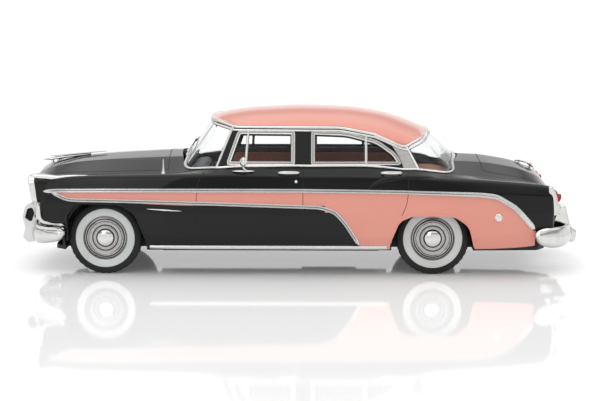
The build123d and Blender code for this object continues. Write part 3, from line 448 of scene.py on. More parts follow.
def carve(obj, cutters):
    """Cuts shapes away, then drops them."""
    for cutter in cutters:
        modifier = obj.modifiers.new("cut", "BOOLEAN")
        modifier.solver = "MANIFOLD"
        modifier.object = cutter
        apply_modifiers(obj)
        bpy.data.objects.remove(cutter)


def eased(name, outline, low, high, ease, material, holes=()):
    """A prism across the car with rounded rims, with holes of the same direction through it."""
    low, high = sorted((low, high))
    piece = prism(name, outline, low, high)
    carve(piece, [prism("hole", hole, low - 1, high + 1) for hole in holes])
    smooth_faces(piece.data)
    rim = piece.modifiers.new("rim", "BEVEL")
    rim.width = ease * MM
    rim.segments = 3
    rim.limit_method = "ANGLE"
    rim.angle_limit = math.radians(40)
    rim.harden_normals = True
    apply_modifiers(piece)
    return dress(piece, material)


def lathe(name, profile, centre, material, body=CAR, axis="Y", steps=96, side=1):
    """A turned piece from (along, radius) pairs about an axis through centre; side -1 turns it round."""
    rings = [[np.add(centre, PLACE[axis](r * math.cos(a), r * math.sin(a), side * t)) for t, r in profile]
             for a in circle(steps)]
    obj = skin(name, rings, material, body, 30, closed_ring=False, closed_path=True)
    mend(obj.data, 1e-7, 30)
    return obj


def tube(name, points, radii, material, sides=14):
    """A round bar along a line, with one radius for each point or one for all."""
    points = np.asarray(points, float)
    along = directions(points)
    helper = np.eye(3)[np.argmin(np.abs(along).sum(axis=0))]
    u = unit(np.cross(along, helper))
    v = np.cross(along, u)
    rings = []
    for i, radius in enumerate(np.broadcast_to(radii, len(points))):
        rings.append([points[i] + radius * (math.cos(a) * u[i] + math.sin(a) * v[i]) for a in circle(sides)])
    return skin(name, rings, material)


def pod(name, table, steps=6, power=2.5):
    """A plated streamlined piece on the middle line from rows of x, z, half width and half height."""
    return skin(name, [superoval(x, 0, z, a, b, power) for x, z, a, b in densified(table, steps)], CHROME)


def on_surface(line, height, axis, side=1, lift=0.0):
    """Points and outward normals along a line of (a, b) on a surface that is height(a, b) off the drawing."""
    points, normals = [], []
    step = 0.3
    for a, b in line:
        slope_a = (height(a + step, b) - height(a - step, b)) / (2 * step)
        slope_b = (height(a, b + step) - height(a, b - step)) / (2 * step)
        normal = unit(np.array(PLACE[axis](-slope_a, -slope_b, 1.0)))
        points.append(mirrored(PLACE[axis](a, b, height(a, b)) + normal * lift, side))
        normals.append(mirrored(normal, side))
    return np.array(points), np.array(normals)


# ---------------------------------------------------------------- lower body
STATION_X = np.concatenate([np.arange(NOSE_X, TAIL_X, 0.5), [TAIL_X]])


def nose_setback(y):
    """How far the nose is behind its middle at a distance from the middle line."""
    return np.interp(np.abs(y), *zip(*NOSE_SWEEP))


def nose_x(y):
    """The front of the body at a distance from the middle."""
    return NOSE_X + float(nose_setback(y))


def sweep_share(x):
    """How much of the nose's sweep a station takes: all at the nose, none at the end of it."""
    t = np.clip((SWEEP_END_X - np.asarray(x, float)) / (SWEEP_END_X - NOSE_X), 0, 1)
    return t * t * (3 - 2 * t)


def swept(points):
    """Points in (x, y, z) moved back by the sweep of the nose."""
    points = np.array(points, float)
    points[..., 0] += sweep_share(points[..., 0]) * nose_setback(points[..., 1])
    return points


def unswept(x, y):
    """The station whose swept surface is at x, at a distance y from the middle."""
    station = x
    for _ in range(14):
        station = x - float(sweep_share(station)) * float(nose_setback(y))
    return station


def body_corners(at):
    """The eight corners of a half section at each place along the body, as (place, corner, y and z)."""
    at = np.asarray(at, float)
    reach = np.clip(0.4 + 0.22 * np.minimum(at - NOSE_X, TAIL_X - at), 0.4, 2.2)
    columns = [smoothed(BODY_ROWS[:, 0], column, at, reach) for column in BODY_ROWS.T[1:]]
    columns.insert(-1, np.zeros(len(at)))
    return np.array(columns).reshape(8, 2, -1).transpose(2, 0, 1)


def body_ring(corners):
    """One closed section through corners given for the +Y half."""
    full = list(corners) + [(-y, z) for y, z in corners[-2::-1]]
    return rounded(full, CORNER_R + CORNER_R[-2::-1], 6, RING_LINE_STEPS)


# A ring has, for each corner, an arc of 7 points and the points of the line after it. The side's part ends at
# the crown, and the top's part runs from the middle of the crown's arc to the middle of the last one.
RING_LINE_STEPS = 3
CORNER_POINTS = 7 + RING_LINE_STEPS - 1
SIDE_COUNT = 5 * CORNER_POINTS - 2
TOP_START, TOP_END = 4 * CORNER_POINTS + 3, 7 * CORNER_POINTS + 4
BODY_RINGS = np.array([body_ring(corners) for corners in body_corners(STATION_X)])


def ring_at(x):
    """The body section at any place along the body."""
    place = np.clip(np.interp(x, STATION_X, np.arange(len(STATION_X))), 0, len(STATION_X) - 1.001)
    i = int(place)
    return BODY_RINGS[i] * (1 - (place - i)) + BODY_RINGS[i + 1] * (place - i)


def side_y(x, z):
    """How far out the body side is at (x, z), found in a few rounds where the nose is swept."""
    y = 22.0
    for _ in range(6 if x < SWEEP_END_X + 6 else 1):
        ring = ring_at(unswept(x, y))[:SIDE_COUNT]
        rising = np.maximum.accumulate(ring[:, 1]) + np.arange(SIDE_COUNT) * 1e-9
        found = float(np.interp(z, rising, ring[:, 0]))
        y = 0.5 * y + 0.5 * found
    return found


def top_z(x, y):
    """How high the body's upper surface is at (x, y)."""
    ring = ring_at(unswept(x, abs(y)))[TOP_START:TOP_END]
    order = np.argsort(ring[:, 0])
    return float(np.interp(abs(y), ring[order, 0], ring[order, 1]))


def on_side(line, side):
    """Points and outward normals on the body side along a line of (x, z)."""
    return on_surface(line, side_y, "Y", side)


def on_top(line):
    """Points and upward normals on the body's upper surface along a line of (x, y)."""
    return on_surface(line, top_z, "Z")


def in_sweep(x, z):
    """True between the two lines of the salmon side colour."""
    if not SWEEP_LOW[0][0] < x < SWEEP_TOP[-1][0]:
        return False
    lower = np.interp(x, *zip(*SWEEP_LOW)) if x < SWEEP_LOW[-1][0] else -1.0
    return bool(lower < z < np.interp(x, *zip(*SWEEP_TOP)))


def build_body():
    """The casting: outer form with rounded ends, hollowed, its openings cut, split by colour."""
    end_steps = END_ROUND * (1 - np.cos(np.linspace(0, math.pi / 2, 6)))
    at = np.concatenate([NOSE_X + end_steps, STATION_X[3:-3], (TAIL_X - end_steps)[::-1]])
    rings = []
    for x, corners in zip(at, body_corners(at)):
        depth = min(x - NOSE_X, TAIL_X - x, END_ROUND)
        inset = END_ROUND - math.sqrt(max(0.0, END_ROUND**2 - (END_ROUND - depth) ** 2))
        rings.append(swept([(x, y, z) for y, z in shrink(body_ring(corners), inset)]))
    body = skin("body_form", rings, sharp=35)

    at = np.linspace(NOSE_X + WALL, TAIL_X - WALL, 30)
    rings = []
    for x, c in zip(at, body_corners(at)):
        inner = [(c[0][0] - WALL, -2.0)] + [(y - WALL, z) for y, z in c[1:4]]
        inner += [(c[4][0] - WALL, c[4][1] - WALL), (c[5][0] - 0.3 * WALL, c[5][1] - WALL)]
        inner += [(c[6][0], c[6][1] - WALL), (0.0, c[7][1] - WALL)]
        rings.append(swept([(x, y, z) for y, z in inner] + [(x, -y, z) for y, z in inner[-2::-1]]))
    cutters = [skin("hollow", rings, sharp=None)]
    for axle_x, outline, radii in ARCHES:
        cutters.append(prism("arch", rounded(outline, radii, 8, 2) + (axle_x, 0), -30.0, 30.0))
    cutters.append(prism("cabin", shrink(house_plan(CABIN_OPENING_Z), 1.2), 18.0, 32.0, "Z"))
    cutters.append(prism("grille", rounded(GRILLE, [0.9] * 8, 4), -67.0, -57.0, "X"))
    carve(body, cutters)

    def is_salmon(face, side):
        x, y, z = (c / MM for c in face.calc_center_median())
        return y * side > COLOUR_SPLIT_Y and in_sweep(x, z)

    parts = [("body_black", BLACK, "body_shell", lambda f: not (is_salmon(f, -1) or is_salmon(f, 1)))]
    for label, side in SIDES:
        parts.append(("sweep_" + label, SALMON, "sweep_panel_" + label, lambda f, s=side: is_salmon(f, s)))
    for name, material, node, keep in parts:
        mesh = body.data.copy()
        bm = bmesh.new()
        bm.from_mesh(mesh)
        bmesh.ops.delete(bm, geom=[face for face in bm.faces if not keep(face)], context="FACES")
        bm.to_mesh(mesh)
        bm.free()
        mesh.set_sharp_from_angle(angle=math.radians(38))
        mesh.materials.clear()
        piece = bpy.data.objects.new(name, mesh)
        bpy.context.scene.collection.objects.link(piece)
        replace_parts(dress(piece, material), node)
    bpy.data.objects.remove(body)


# ---------------------------------------------------------------- glasshouse
def house_ring(column, radius_share):
    """The closed plan of the glasshouse from one column of its table, front middle first, +Y side first."""
    half = [row[column] for row in GLASS_ROWS]
    radii = [row[2] * radius_share for row in GLASS_ROWS]
    return rounded(half + [(x, -y) for x, y in half[-2:0:-1]], radii + radii[-2:0:-1], 8, 8)


HOUSE_BELT, HOUSE_AIM = house_ring(0, 1.0), house_ring(1, AIM_RADIUS_SHARE)
HOUSE_COUNT = len(HOUSE_BELT)
HOUSE_MIDDLE = np.array([2.0, 0.0, 28.0])


def house_plan(z):
    """The plan outline at a height, or at one height for each of its places."""
    share = (z - BELT_Z) / (AIM_Z - BELT_Z)
    return HOUSE_BELT * (1 - share) + HOUSE_AIM * share


def house_points(z, lift=0.0):
    """One point of the glasshouse skin for each plan place at that place's height, moved along the normal."""
    points = np.column_stack([house_plan(z[:, None]), z])
    return points + house_normals(z) * lift if lift else points


def house_normals(z):
    """Outward normals of the glasshouse skin at each plan place."""
    here = house_points(z)
    along = np.roll(here, -1, axis=0) - np.roll(here, 1, axis=0)
    normal = unit(np.cross(along, house_points(z + 0.5) - here))
    return np.where((np.sum(normal * (here - HOUSE_MIDDLE), axis=1) > 0)[:, None], normal, -normal)


def house_y(x, z):
    """How far out the glasshouse side is at (x, z)."""
    plan = house_plan(z)
    half = plan[plan[:, 1] >= -1e-6]
    order = np.argsort(half[:, 0])
    return float(np.interp(x, half[order, 0], half[order, 1]))


def on_house(line, side, lift=0.0):
    """Points and outward normals on the glasshouse side along a line of (x, z)."""
    return on_surface(line, house_y, "Y", side, lift)


def on_screen(y, z, lift):
    """A point on the windscreen, raised off the glass."""
    line = house_points(np.full(HOUSE_COUNT, z), lift)
    line = line[line[:, 0] < -10]
    line = line[np.argsort(line[:, 1])]
    return float(np.interp(y, line[:, 1], line[:, 0])), y, z


def dome_z(x, y):
    """Height of the roof's crown surface."""
    xs, tops, arches = zip(*ROOF_ROWS)
    arch = smoothed(xs, arches, x, 3.0)
    return smoothed(xs, tops, x, 3.0) - arch + np.sqrt(arch**2 - np.asarray(y) ** 2)


def edge_z(x):
    """Height of the roof's lower edge where it meets the windows."""
    return smoothed(*zip(*ROOF_EDGE), x, 0.6)


def settle(height, start=33.0, rounds=60):
    """The height at each plan place where the glasshouse skin meets a surface given as height(x, y)."""
    z = np.full(HOUSE_COUNT, start)
    for _ in range(rounds):
        p = house_points(z)
        z = 0.7 * z + 0.3 * height(p[:, 0], p[:, 1])
    return z


ROOF_LIP = settle(lambda x, y: edge_z(x))
ROOF_CREST = np.maximum(settle(dome_z), ROOF_LIP + 0.12)
BELT_LINE = settle(lambda x, y: np.array([top_z(a, b) for a, b in zip(x, y)]), 24.4, 30)


def build_roof():
    """Crown, rounded shoulder and lip of the roof, in rings from the middle line out."""
    shoulder = 1.7
    crest, lip = house_points(ROOF_CREST), house_points(ROOF_LIP)
    spine = np.column_stack([np.clip(crest[:, 0], -8.0, 12.0), np.zeros(HOUSE_COUNT)])
    outward = crest[:, :2] - spine
    reach = np.linalg.norm(outward, axis=1)
    rings = []
    for share in np.linspace(0, 1, 22):
        flat = spine + outward * (share * (reach - shoulder) / reach)[:, None]
        rings.append(np.column_stack([flat, dome_z(flat[:, 0], flat[:, 1])]))
    start = rings[-1]
    drop = np.linalg.norm(crest - lip, axis=1)
    end = crest + (lip - crest) * (np.minimum(drop, shoulder) / drop * 0.98)[:, None]
    for t in np.linspace(0, 1, 8)[1:]:
        rings.append((1 - t) ** 2 * start + 2 * t * (1 - t) * crest + t**2 * end)
    roof = skin("roof_skin", rings + [lip], SALMON, sharp=60, caps=False)
    mend(roof.data, 2e-6)
    thick = roof.modifiers.new("thick", "SOLIDIFY")
    thick.thickness = 0.8 * MM
    thick.offset = -1
    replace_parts(roof, "roof_panel")


def build_glass():
    """Windscreen, rear window and side panes, from under the belt line to behind the roof lip."""
    def pane(name, node, keep, key):
        places = [k for k in range(HOUSE_COUNT) if keep(*HOUSE_BELT[k])]
        places.sort(key=lambda k: key(*HOUSE_BELT[k]))
        low, high = BELT_LINE - 0.5, ROOF_LIP + 0.2
        heights = [low + (high - low) * share for share in np.linspace(0, 1, 7)]
        rows = [house_points(z, -0.32)[places] for z in heights]
        rows += [house_points(z, -0.62)[places] for z in heights[::-1]]
        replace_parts(skin(name, np.swapaxes(rows, 0, 1), GLASS, sharp=50), node)

    pane("windscreen_pane", "windscreen", lambda x, y: x <= SCREEN_X, lambda x, y: math.atan2(y, -x - 12))
    pane("rear_pane", "rear_window", lambda x, y: x >= REAR_GLASS_X, lambda x, y: math.atan2(y, x - 20))
    for label, side in SIDES:
        pane("side_pane_" + label, "side_glass_" + label,
             lambda x, y: SCREEN_X <= x <= REAR_GLASS_X and y * side > 0, lambda x, y: x)


def build_pillars():
    """Black windscreen and centre posts, bright quarter panels and the strips over and under the windows."""
    rise = np.linspace(0, 1, 12)
    xs = np.linspace(-15.6, 24.0, 70)
    header = np.maximum(edge_z(xs) - 1.35, np.interp(xs, *zip(*WINDOW_TOPS)) - 0.45)
    zero, posts = 0 * rise, 23.9 + 9.3 * rise
    # Name, material, the two edges in (x, z), how far the piece is sunk, and its rows.
    patches = (
        ("windscreen_post_", BLACK, (-19.1 + 3.7 * rise, 24.0 + 9.5 * rise),
         (-16.75 + 3.0 * rise, 24.0 + 9.2 * rise), 0.0, 10),
        ("centre_post_", BLACK, (zero - 1.4, posts), (zero + 2.65, posts), 0.05, 10),
        ("quarter_panel_", BRUSHED, (23.4 - 2.6 * rise**1.4, 24.0 + 5.2 * rise),
         (26.9 - 2.9 * rise, 23.6 + 5.4 * rise), 0.0, 10),
        ("window_header_", BLACK, (xs, header), (xs, edge_z(xs) + 0.25), 0.05, 4),
        ("window_sill_", BLACK, (xs, 0 * xs + 23.6), (xs, 0 * xs + 24.95), 0.05, 4))
    thick = 0.75
    for label, side in SIDES:
        for name, material, low, high, sink, count in patches:
            low, high = np.column_stack(low), np.column_stack(high)
            rows = [on_house(low * (1 - t) + high * t, side, -sink) for t in np.linspace(0, 1, count)]
            rings = [outer for outer, _ in rows] + [outer - normals * thick for outer, normals in rows[::-1]]
            skin(name + label, np.swapaxes(rings, 0, 1), material, sharp=45)
    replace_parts(bpy.data.objects["windscreen_post_right"], "window_pillars")


def build_window_trim():
    """Etched frames round the side windows, division bars, screen surrounds, drip rail and belt strip."""
    width = 0.85
    frame_shape, edge_shape = channel(width, 0.24), half_round(0.6, 0.3)
    bars = (("vent_bar_", (-12.35, 25.2), (-11.85, 32.3)), ("quarter_bar_", (14.9, 25.2), (14.9, 31.2)))
    for label, side in SIDES:
        for name, outline, radii in WINDOWS:
            shape = rounded(outline, radii, 8, 2)
            following = np.roll(shape, -1, axis=0)
            turn = math.copysign(1, np.sum(shape[:, 0] * following[:, 1] - following[:, 0] * shape[:, 1]))
            line = on_house(even(shrink(shape, turn * width / 2), 0.35, closed=True), side)
            bright = ribbon(f"{name}_frame_{label}", *line, frame_shape, ETCHED, closed=True)
            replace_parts(bright, "window_frame_" + label)
            ribbon(f"{name}_inlay_{label}", *line, half_round(0.24, 0.14, 0.1, 4), TRIM_LINE, closed=True)
            line = on_house(even(shrink(shape, turn * (width + 0.08)), 0.35, closed=True), side, -0.1)
            ribbon(f"{name}_seal_{label}", *line, half_round(0.3, 0.12, 0.25, 4), SEAL, closed=True)
        for name, low, high in bars:
            line = on_house(np.linspace(low, high, 20), side, -0.05)
            ribbon(name + label, *line, half_round(0.62, 0.24), ETCHED)
    for name, z, shape in (("drip_rail", ROOF_LIP - 0.12, half_round(0.62, 0.34, 0.15)),
                           ("header_moulding", ROOF_LIP - 0.78, half_round(0.5, 0.22, 0.15)),
                           ("belt_strip", BELT_LINE + 0.22, half_round(0.6, 0.3, 0.3))):
        ribbon(name, house_points(z), house_normals(z), shape, ETCHED, closed=True)
    for label, side in SIDES:
        for name, low, high, count in (("windscreen_edge_", (-19.0, 24.3), (-15.4, 33.2), 26),
                                       ("rear_window_edge_", (26.7, 24.1), (24.0, 29.1), 22)):
            ribbon(name + label, *on_house(np.linspace(low, high, count), side), edge_shape, ETCHED)


# ---------------------------------------------------------------- side and top lines
HIP = [(15.1, 19.5), (15.8, 20.5), (17.4, 21.4), (20.0, 22.1), (24.0, 22.6), (30.0, 22.5)]
CORNER_MOULDING = [(-59.3, 16.4), (-59.1, 12.6), (-58.0, 11.75), (-53.6, 11.35)]
DOOR_LINES = {"front_door_front": [(-23.6, 6.9), (-23.5, 16.0), (-23.0, 21.5), (-21.6, 23.6)],
              "door_split": [(0.65, 6.9), (0.65, 23.6)],
              "rear_door_rear": [(22.9, 14.0), (24.0, 16.4), (24.4, 19.5), (24.2, 23.3)]}
BONNET_EDGE = [(-60.2, 14.2), (-50.0, 15.0), (-30.2, 15.6)]
BOOT_EDGE = [(41.6, 13.0), (42.6, 14.0), (52.0, 14.0), (57.0, 13.4)]
GAP_WIDTH = 0.16
SILL_Z = 6.45


def build_side_trim():
    """Sweep mouldings, arch lips, sill strips and the marked door lines on both sides."""
    for label, side in SIDES:
        for name, curve, sizes in (("upper", SWEEP_TOP, (1, 1, 1, 1, 1.5)), ("lower", SWEEP_LOW, (1, 1))):
            line = on_side(soft_line(curve, 0.4, 8), side)
            name = f"sweep_moulding_{name}_{label}"
            ribbon(name, *line, channel(0.85, 0.32), ETCHED, taper=3, sizes=sizes)
            ribbon(name + "_inlay", *line, half_round(0.3, 0.17, 0.1, 4), TRIM_LINE, taper=6)
        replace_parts(bpy.data.objects["sweep_moulding_upper_" + label], "sweep_trim_" + label)
        line = on_side(soft_line(HIP, 0.3, 10), side)
        ribbon("hip_crease_" + label, *line, half_round(1.3, 0.3, 0.4), BLACK, taper=5,
               sizes=(0.3, 1, 1, 0.5))
        line = on_side(soft_line(CORNER_MOULDING, 0.3, 8), side)
        ribbon("corner_moulding_" + label, *line, half_round(0.9, 0.3), CHROME, taper=2)
        for end, material, (axle_x, outline, radii) in zip(("front", "rear"), (BLACK, SALMON), ARCHES):
            lip = even([p for p in rounded(outline, radii, 8, 2) + (axle_x, 0) if p[1] > 6.6], 0.4)
            ribbon(f"{end}_arch_lip_{label}", *on_side(lip, side), half_round(0.5, 0.14, 0.5), material)
        sill = on_side(even([(-34.0, SILL_Z), (19.6, SILL_Z)], 0.6), side)
        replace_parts(ribbon("sill_strip_" + label, *sill, half_round(1.0, 0.3), ETCHED), "sill_trim_" + label)
        for name, line in DOOR_LINES.items():
            line = soft_line(line, 0.3, 10)
            runs = [(inside, list(run)) for inside, run in groupby(line, lambda p: in_sweep(*p))]
            for part, salmon, material in (("black", False, SHADOW_LINE), ("salmon", True, SALMON_LINE)):
                stretches = [run for inside, run in runs if inside == salmon and len(run) > 2]
                for index, run in enumerate(stretches):
                    gap = f"{name}_gap_{part}_{index}_{label}"
                    ribbon(gap, *on_side(run, side), flat_strip(GAP_WIDTH), material)


def build_top_lines():
    """Marked edges of the bonnet, cowl and boot lid on the upper surface."""
    lines = {"cowl_edge": [(-30.2, -15.6), (-30.8, 0.0), (-30.2, 15.6)],
             "boot_front_edge": [(41.6, -13.0), (41.2, 0.0), (41.6, 13.0)]}
    for label, side in SIDES:
        lines["bonnet_edge_" + label] = [(x, y * side) for x, y in BONNET_EDGE]
        lines["boot_edge_" + label] = [(x, y * side) for x, y in BOOT_EDGE]
    for name, line in lines.items():
        ribbon(name, *on_top(soft_line(line, 0.5, 6)), flat_strip(GAP_WIDTH), SHADOW_LINE)


# ---------------------------------------------------------------- wheels
# All profiles are (out from the wheel's middle, radius).
TYRE_HALF = [(1.75, 8.27), (2.3, 6.9), (2.2, 5.6), (1.55, 4.95)]
TYRE_HALF_R = [0.55, 2.0, 1.0, 0.2]
TREAD_GROOVES, TREAD_BLOCK_FROM, TREAD_R = (-1.1, -0.37, 0.37, 1.1), 1.1, 8.0
WHITEWALL_BAND = [(2.12, 5.02), (2.2, 5.1), (2.27, 5.5), (2.36, 6.1), (2.34, 6.62), (2.26, 6.72), (2.1, 6.72),
                  (1.9, 5.9), (1.9, 5.02), (2.12, 5.02)]
COVER_DOME = [(1.3, 0.0), (2.62, 0.0), (2.60, 0.7), (2.48, 1.35), (2.2, 1.8), (1.9, 1.95), (1.3, 1.95)]
COVER_STEPS = [(1.3, 0.0), (1.3, 1.9), (1.9, 2.05), (1.92, 2.5), (2.0, 2.62), (2.0, 2.72), (1.86, 2.85),
               (1.82, 3.6), (1.9, 3.75), (2.12, 3.9), (2.16, 4.02), (2.1, 4.14), (1.8, 4.3), (1.72, 4.62),
               (1.8, 4.74), (1.98, 4.84), (1.98, 4.95), (1.6, 4.98), (-1.6, 4.98), (-1.6, 0.0)]
# Dark rings let into the cover: inner radius, outer radius, how far out they reach.
COVER_LINES = ((1.96, 2.12, 1.97), (2.78, 3.02, 1.9), (4.26, 4.44, 1.86), (4.92, 5.05, 2.1))


def tyre_ring(outline, angle, hub, is_block):
    """One section of a tyre, with its grooves and, at a block's edge, a notch in the shoulders."""
    ring = []
    for t, r in outline:
        if r > TREAD_R:
            r -= 0.10 * sum(math.exp(-((t - groove) / 0.10) ** 2) for groove in TREAD_GROOVES)
            if is_block and abs(t) > TREAD_BLOCK_FROM:
                r -= 0.12
        ring.append((hub[0] + r * math.cos(angle), hub[1] + t, hub[2] + r * math.sin(angle)))
    return ring


def build_wheels():
    """Tyres with shallow tread, whitewall bands and stepped covers."""
    corners = [(-t, r) for t, r in TYRE_HALF[::-1]] + TYRE_HALF
    outline = rounded(corners, TYRE_HALF_R[::-1] + TYRE_HALF_R, 6, 3)
    for end, axle_x, body in (("front", FRONT_AXLE_X, FRONT), ("rear", REAR_AXLE_X, REAR)):
        for label, side in SIDES:
            hub = (axle_x, side * TYRE_CENTRE_Y, TYRE_R)
            rings = [tyre_ring(outline, a, hub, i % 4 == 0) for i, a in enumerate(circle(144))]
            tyre = skin(f"{end}_tyre_rubber_{label}", rings, TYRE_RUBBER, body, 50, closed_path=True)
            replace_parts(tyre, f"{end}_tyre_{label}")
            lathe(f"{end}_whitewall_{label}", WHITEWALL_BAND, hub, WHITEWALL, body, side=side)
            lathe(f"{end}_cover_dome_{label}", COVER_DOME, hub, CHROME, body, side=side)
            for index, (r0, r1, top) in enumerate(COVER_LINES):
                section = [(1.5, r0), (top, r0), (top, r1), (1.5, r1), (1.5, r0)]
                line = lathe(f"{end}_cover_line_{index}_{label}", section, hub, SEAL, body, side=side)
            cover = lathe(f"{end}_cover_{label}", COVER_STEPS, hub, COVER, body, side=side)
            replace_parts(cover, f"{end}_wheel_disc_{label}")


# ---------------------------------------------------------------- bumpers
# Half plan lines are (x, y); limits are (x, z); a section is (share of the height, proud).
FRONT_PLAN = [(-63.3, 0.0), (-62.9, 8.0), (-61.2, 15.8), (-58.0, 20.6), (-53.6, 22.5)]
FRONT_LOW = [(-64.0, 6.3), (-60.6, 6.5), (-54.6, 7.9), (-53.4, 8.6)]
FRONT_HIGH = [(-64.0, 10.7), (-58.4, 11.0), (-53.4, 10.9)]
FRONT_SECTION = [(1.0, -1.1), (1.0, -0.25), (0.97, 0.02), (0.91, 0.08), (0.86, 0.02), (0.84, -0.22), (0.8,
                 -0.22), (0.77, 0.05), (0.68, 0.32), (0.5, 0.48), (0.32, 0.4), (0.15, 0.12), (0.04, -0.25),
                 (0.0, -0.6), (0.0, -1.1)]
REAR_PLAN = [(63.1, 0.0), (62.8, 9.0), (61.4, 16.6), (58.8, 21.2), (53.2, 23.0)]
REAR_LOW = [(52.6, 8.4), (54.2, 7.2), (57.0, 6.5), (64.0, 6.3)]
REAR_HIGH = [(52.6, 10.9), (56.0, 11.2), (64.0, 10.7)]
REAR_SECTION = [(1.0, -1.1), (1.0, -0.5), (0.97, -0.2), (0.88, 0.02), (0.76, 0.24), (0.62, 0.45), (0.5, 0.52),
                (0.36, 0.42), (0.2, 0.15), (0.06, -0.3), (0.0, -0.7), (0.0, -1.1)]
FRONT_GUARD = rounded([(-61.6, 6.4), (-63.2, 6.2), (-64.3, 7.4), (-63.75, 9.7), (-64.4, 12.0), (-63.7, 14.7),
                       (-62.5, 15.4), (-61.2, 15.0), (-61.0, 11.0)],
                      [0.4, 0.8, 0.7, 2.0, 1.6, 1.4, 0.9, 0.6, 0.4], 6, 2)
FRONT_GUARD_EYE = rounded([(-63.85, 11.9), (-63.2, 14.0), (-62.0, 14.4), (-61.5, 13.0), (-62.3, 10.8)],
                           [0.5] * 5, 5)
REAR_GUARD = rounded([(58.4, 6.6), (57.6, 9.4), (58.0, 11.6), (58.9, 14.4), (59.5, 15.2), (60.9, 15.1),
                      (61.6, 12.4), (62.1, 10.2), (63.6, 9.2), (63.2, 6.6)],
                     [0.8, 1.5, 2.5, 0.8, 0.5, 0.6, 3.0, 1.2, 0.8, 0.8], 6, 2)
GUARD_Y = 12.0
BLADE_STEP, BLADE_END_ROUND, BLADE_END_SHARE = 0.7, 2.1, 0.3


def build_blade(name, half_plan, low, high, section):
    """A wrapped blade: its section carried round the plan line, rounded off at both ends."""
    plan = soft_line(half_plan[::-1] + [(x, -y) for x, y in half_plan[1:]], BLADE_STEP, 14)
    along = directions(plan)
    outward = np.stack([along[:, 1], -along[:, 0]], axis=1)
    outward *= np.sign(outward[len(plan) // 2, 0] * half_plan[0][0])
    rings = []
    for i, (x, y) in enumerate(plan):
        from_end = min(i, len(plan) - 1 - i) * BLADE_STEP
        fade = math.sqrt(max(0.0, 1 - (1 - min(1.0, from_end / BLADE_END_ROUND)) ** 2))
        size = BLADE_END_SHARE + (1 - BLADE_END_SHARE) * fade
        z0, z1 = np.interp(x, *zip(*low)), np.interp(x, *zip(*high))
        ring = []
        for share, proud in section:
            reach = proud * size - 0.45 * (1 - fade)
            z = (z0 + z1) / 2 + (2 * share - 1) * (z1 - z0) / 2 * size
            ring.append((x + outward[i, 0] * reach, y + outward[i, 1] * reach, z))
        rings.append(ring)
    return skin(name, rings, CHROME, sharp=42)


def build_bumpers():
    """Blades with their guards; a dark sheet in the middle of the front pair's open eye is painted shade."""
    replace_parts(build_blade("front_blade", FRONT_PLAN, FRONT_LOW, FRONT_HIGH, FRONT_SECTION), "front_bumper")
    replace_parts(build_blade("rear_blade", REAR_PLAN, REAR_LOW, REAR_HIGH, REAR_SECTION), "rear_bumper")
    for label, side in SIDES:
        y = side * GUARD_Y
        eased("front_guard_" + label, FRONT_GUARD, y - 1.25, y + 1.25, 0.4, CHROME, [FRONT_GUARD_EYE])
        # A thin dark sheet in each front guard's open eye: painted shade where the eye shows through.
        painted_shade_sheet = dress(prism("front_guard_eye_shade_" + label, FRONT_GUARD_EYE, y - 0.5, y + 0.5), SHADOW_LINE)
        eased("rear_guard_" + label, REAR_GUARD, y - 1.5, y + 1.5, 0.5, CHROME)


# ---------------------------------------------------------------- grille and front lamps
TOOTH_COUNT, TOOTH_PITCH = 7, 3.35
# Height up a tooth, its half width and how far it stands out.
TOOTH_RINGS = [(13.25, 0.45, -0.2), (13.5, 0.72, 0.15), (14.1, 0.98, 0.48), (15.0, 1.08, 0.62), (16.0, 0.98,
               0.6), (16.9, 0.72, 0.42), (17.6, 0.5, 0.1), (17.9, 0.3, -0.3)]
GRILLE_BACK = 1.9
PARKING_Y, PARKING_Z = 16.2, 14.15
PARKING_LENS = [(0.5, 0.0), (0.5, 0.78), (-0.1, 0.8), (-0.25, 0.66), (-0.36, 0.4), (-0.4, 0.0)]
LAMP_CENTRE = LAMP_Y, LAMP_Z = 17.4, 19.3
LAMP_STEPS = 72
BEZEL = rounded([(13.9, 16.4), (21.0, 16.4), (21.1, 21.3), (20.0, 22.55), (14.9, 22.55), (13.9, 21.3)],
                [1.1, 1.1, 1.4, 1.4, 1.4, 1.4], 6, 8)
# Rings of the hood and the bezel, front view (grown by, x, lean), and of the bowl (radius, x, lean).
HOOD_RINGS = ((-0.9, -54.6, 0.0), (-0.16, -54.6, 0.0), (-0.06, -57.0, 0.0), (0.0, -58.8, 0.05), (0.01,
              -59.8, 0.13), (-0.06, -59.8, 0.13), (-0.9, -59.6, 0.1))
BEZEL_RINGS = ((-0.03, -59.7, 0.12), (0.02, -59.9, 0.14), (0.02, -60.95, 0.16), (-0.05, -61.25, 0.17),
               (-0.13, -61.2, 0.17))
BOWL_RINGS = ((2.95, -61.1, 0.13), (2.8, -61.2, 0.1), (2.62, -61.2, 0.08), (2.5, -61.05, 0.05), (2.46,
              -60.5, 0.0), (2.0, -59.6, 0.0), (1.1, -59.1, 0.0), (0.1, -59.0, 0.0))
LENS_X, LENS_R, LENS_DOME, LENS_FLUTES, FLUTE_DEPTH = -60.65, 2.42, 0.75, 24, 0.03
BROW = [(-61.4, 20.0), (-60.2, 20.1), (-56.0, 20.4), (-47.9, 20.4)]
BROW_LOWEST = [(-61.5, 22.75), (-58.0, 22.65), (-54.0, 22.3)]


def nose_ribbon(name, line, profile, material=CHROME, lift=0.0, closed=False):
    """A strip on the front of the body along a line of (y, z)."""
    points = np.array([(nose_x(y) - lift, y, z) for y, z in line])
    normals = np.array([(-1.0, (nose_x(y + 0.3) - nose_x(y - 0.3)) / 0.6, 0.0) for y, _ in line])
    return ribbon(name, points, normals, profile, material, closed=closed)


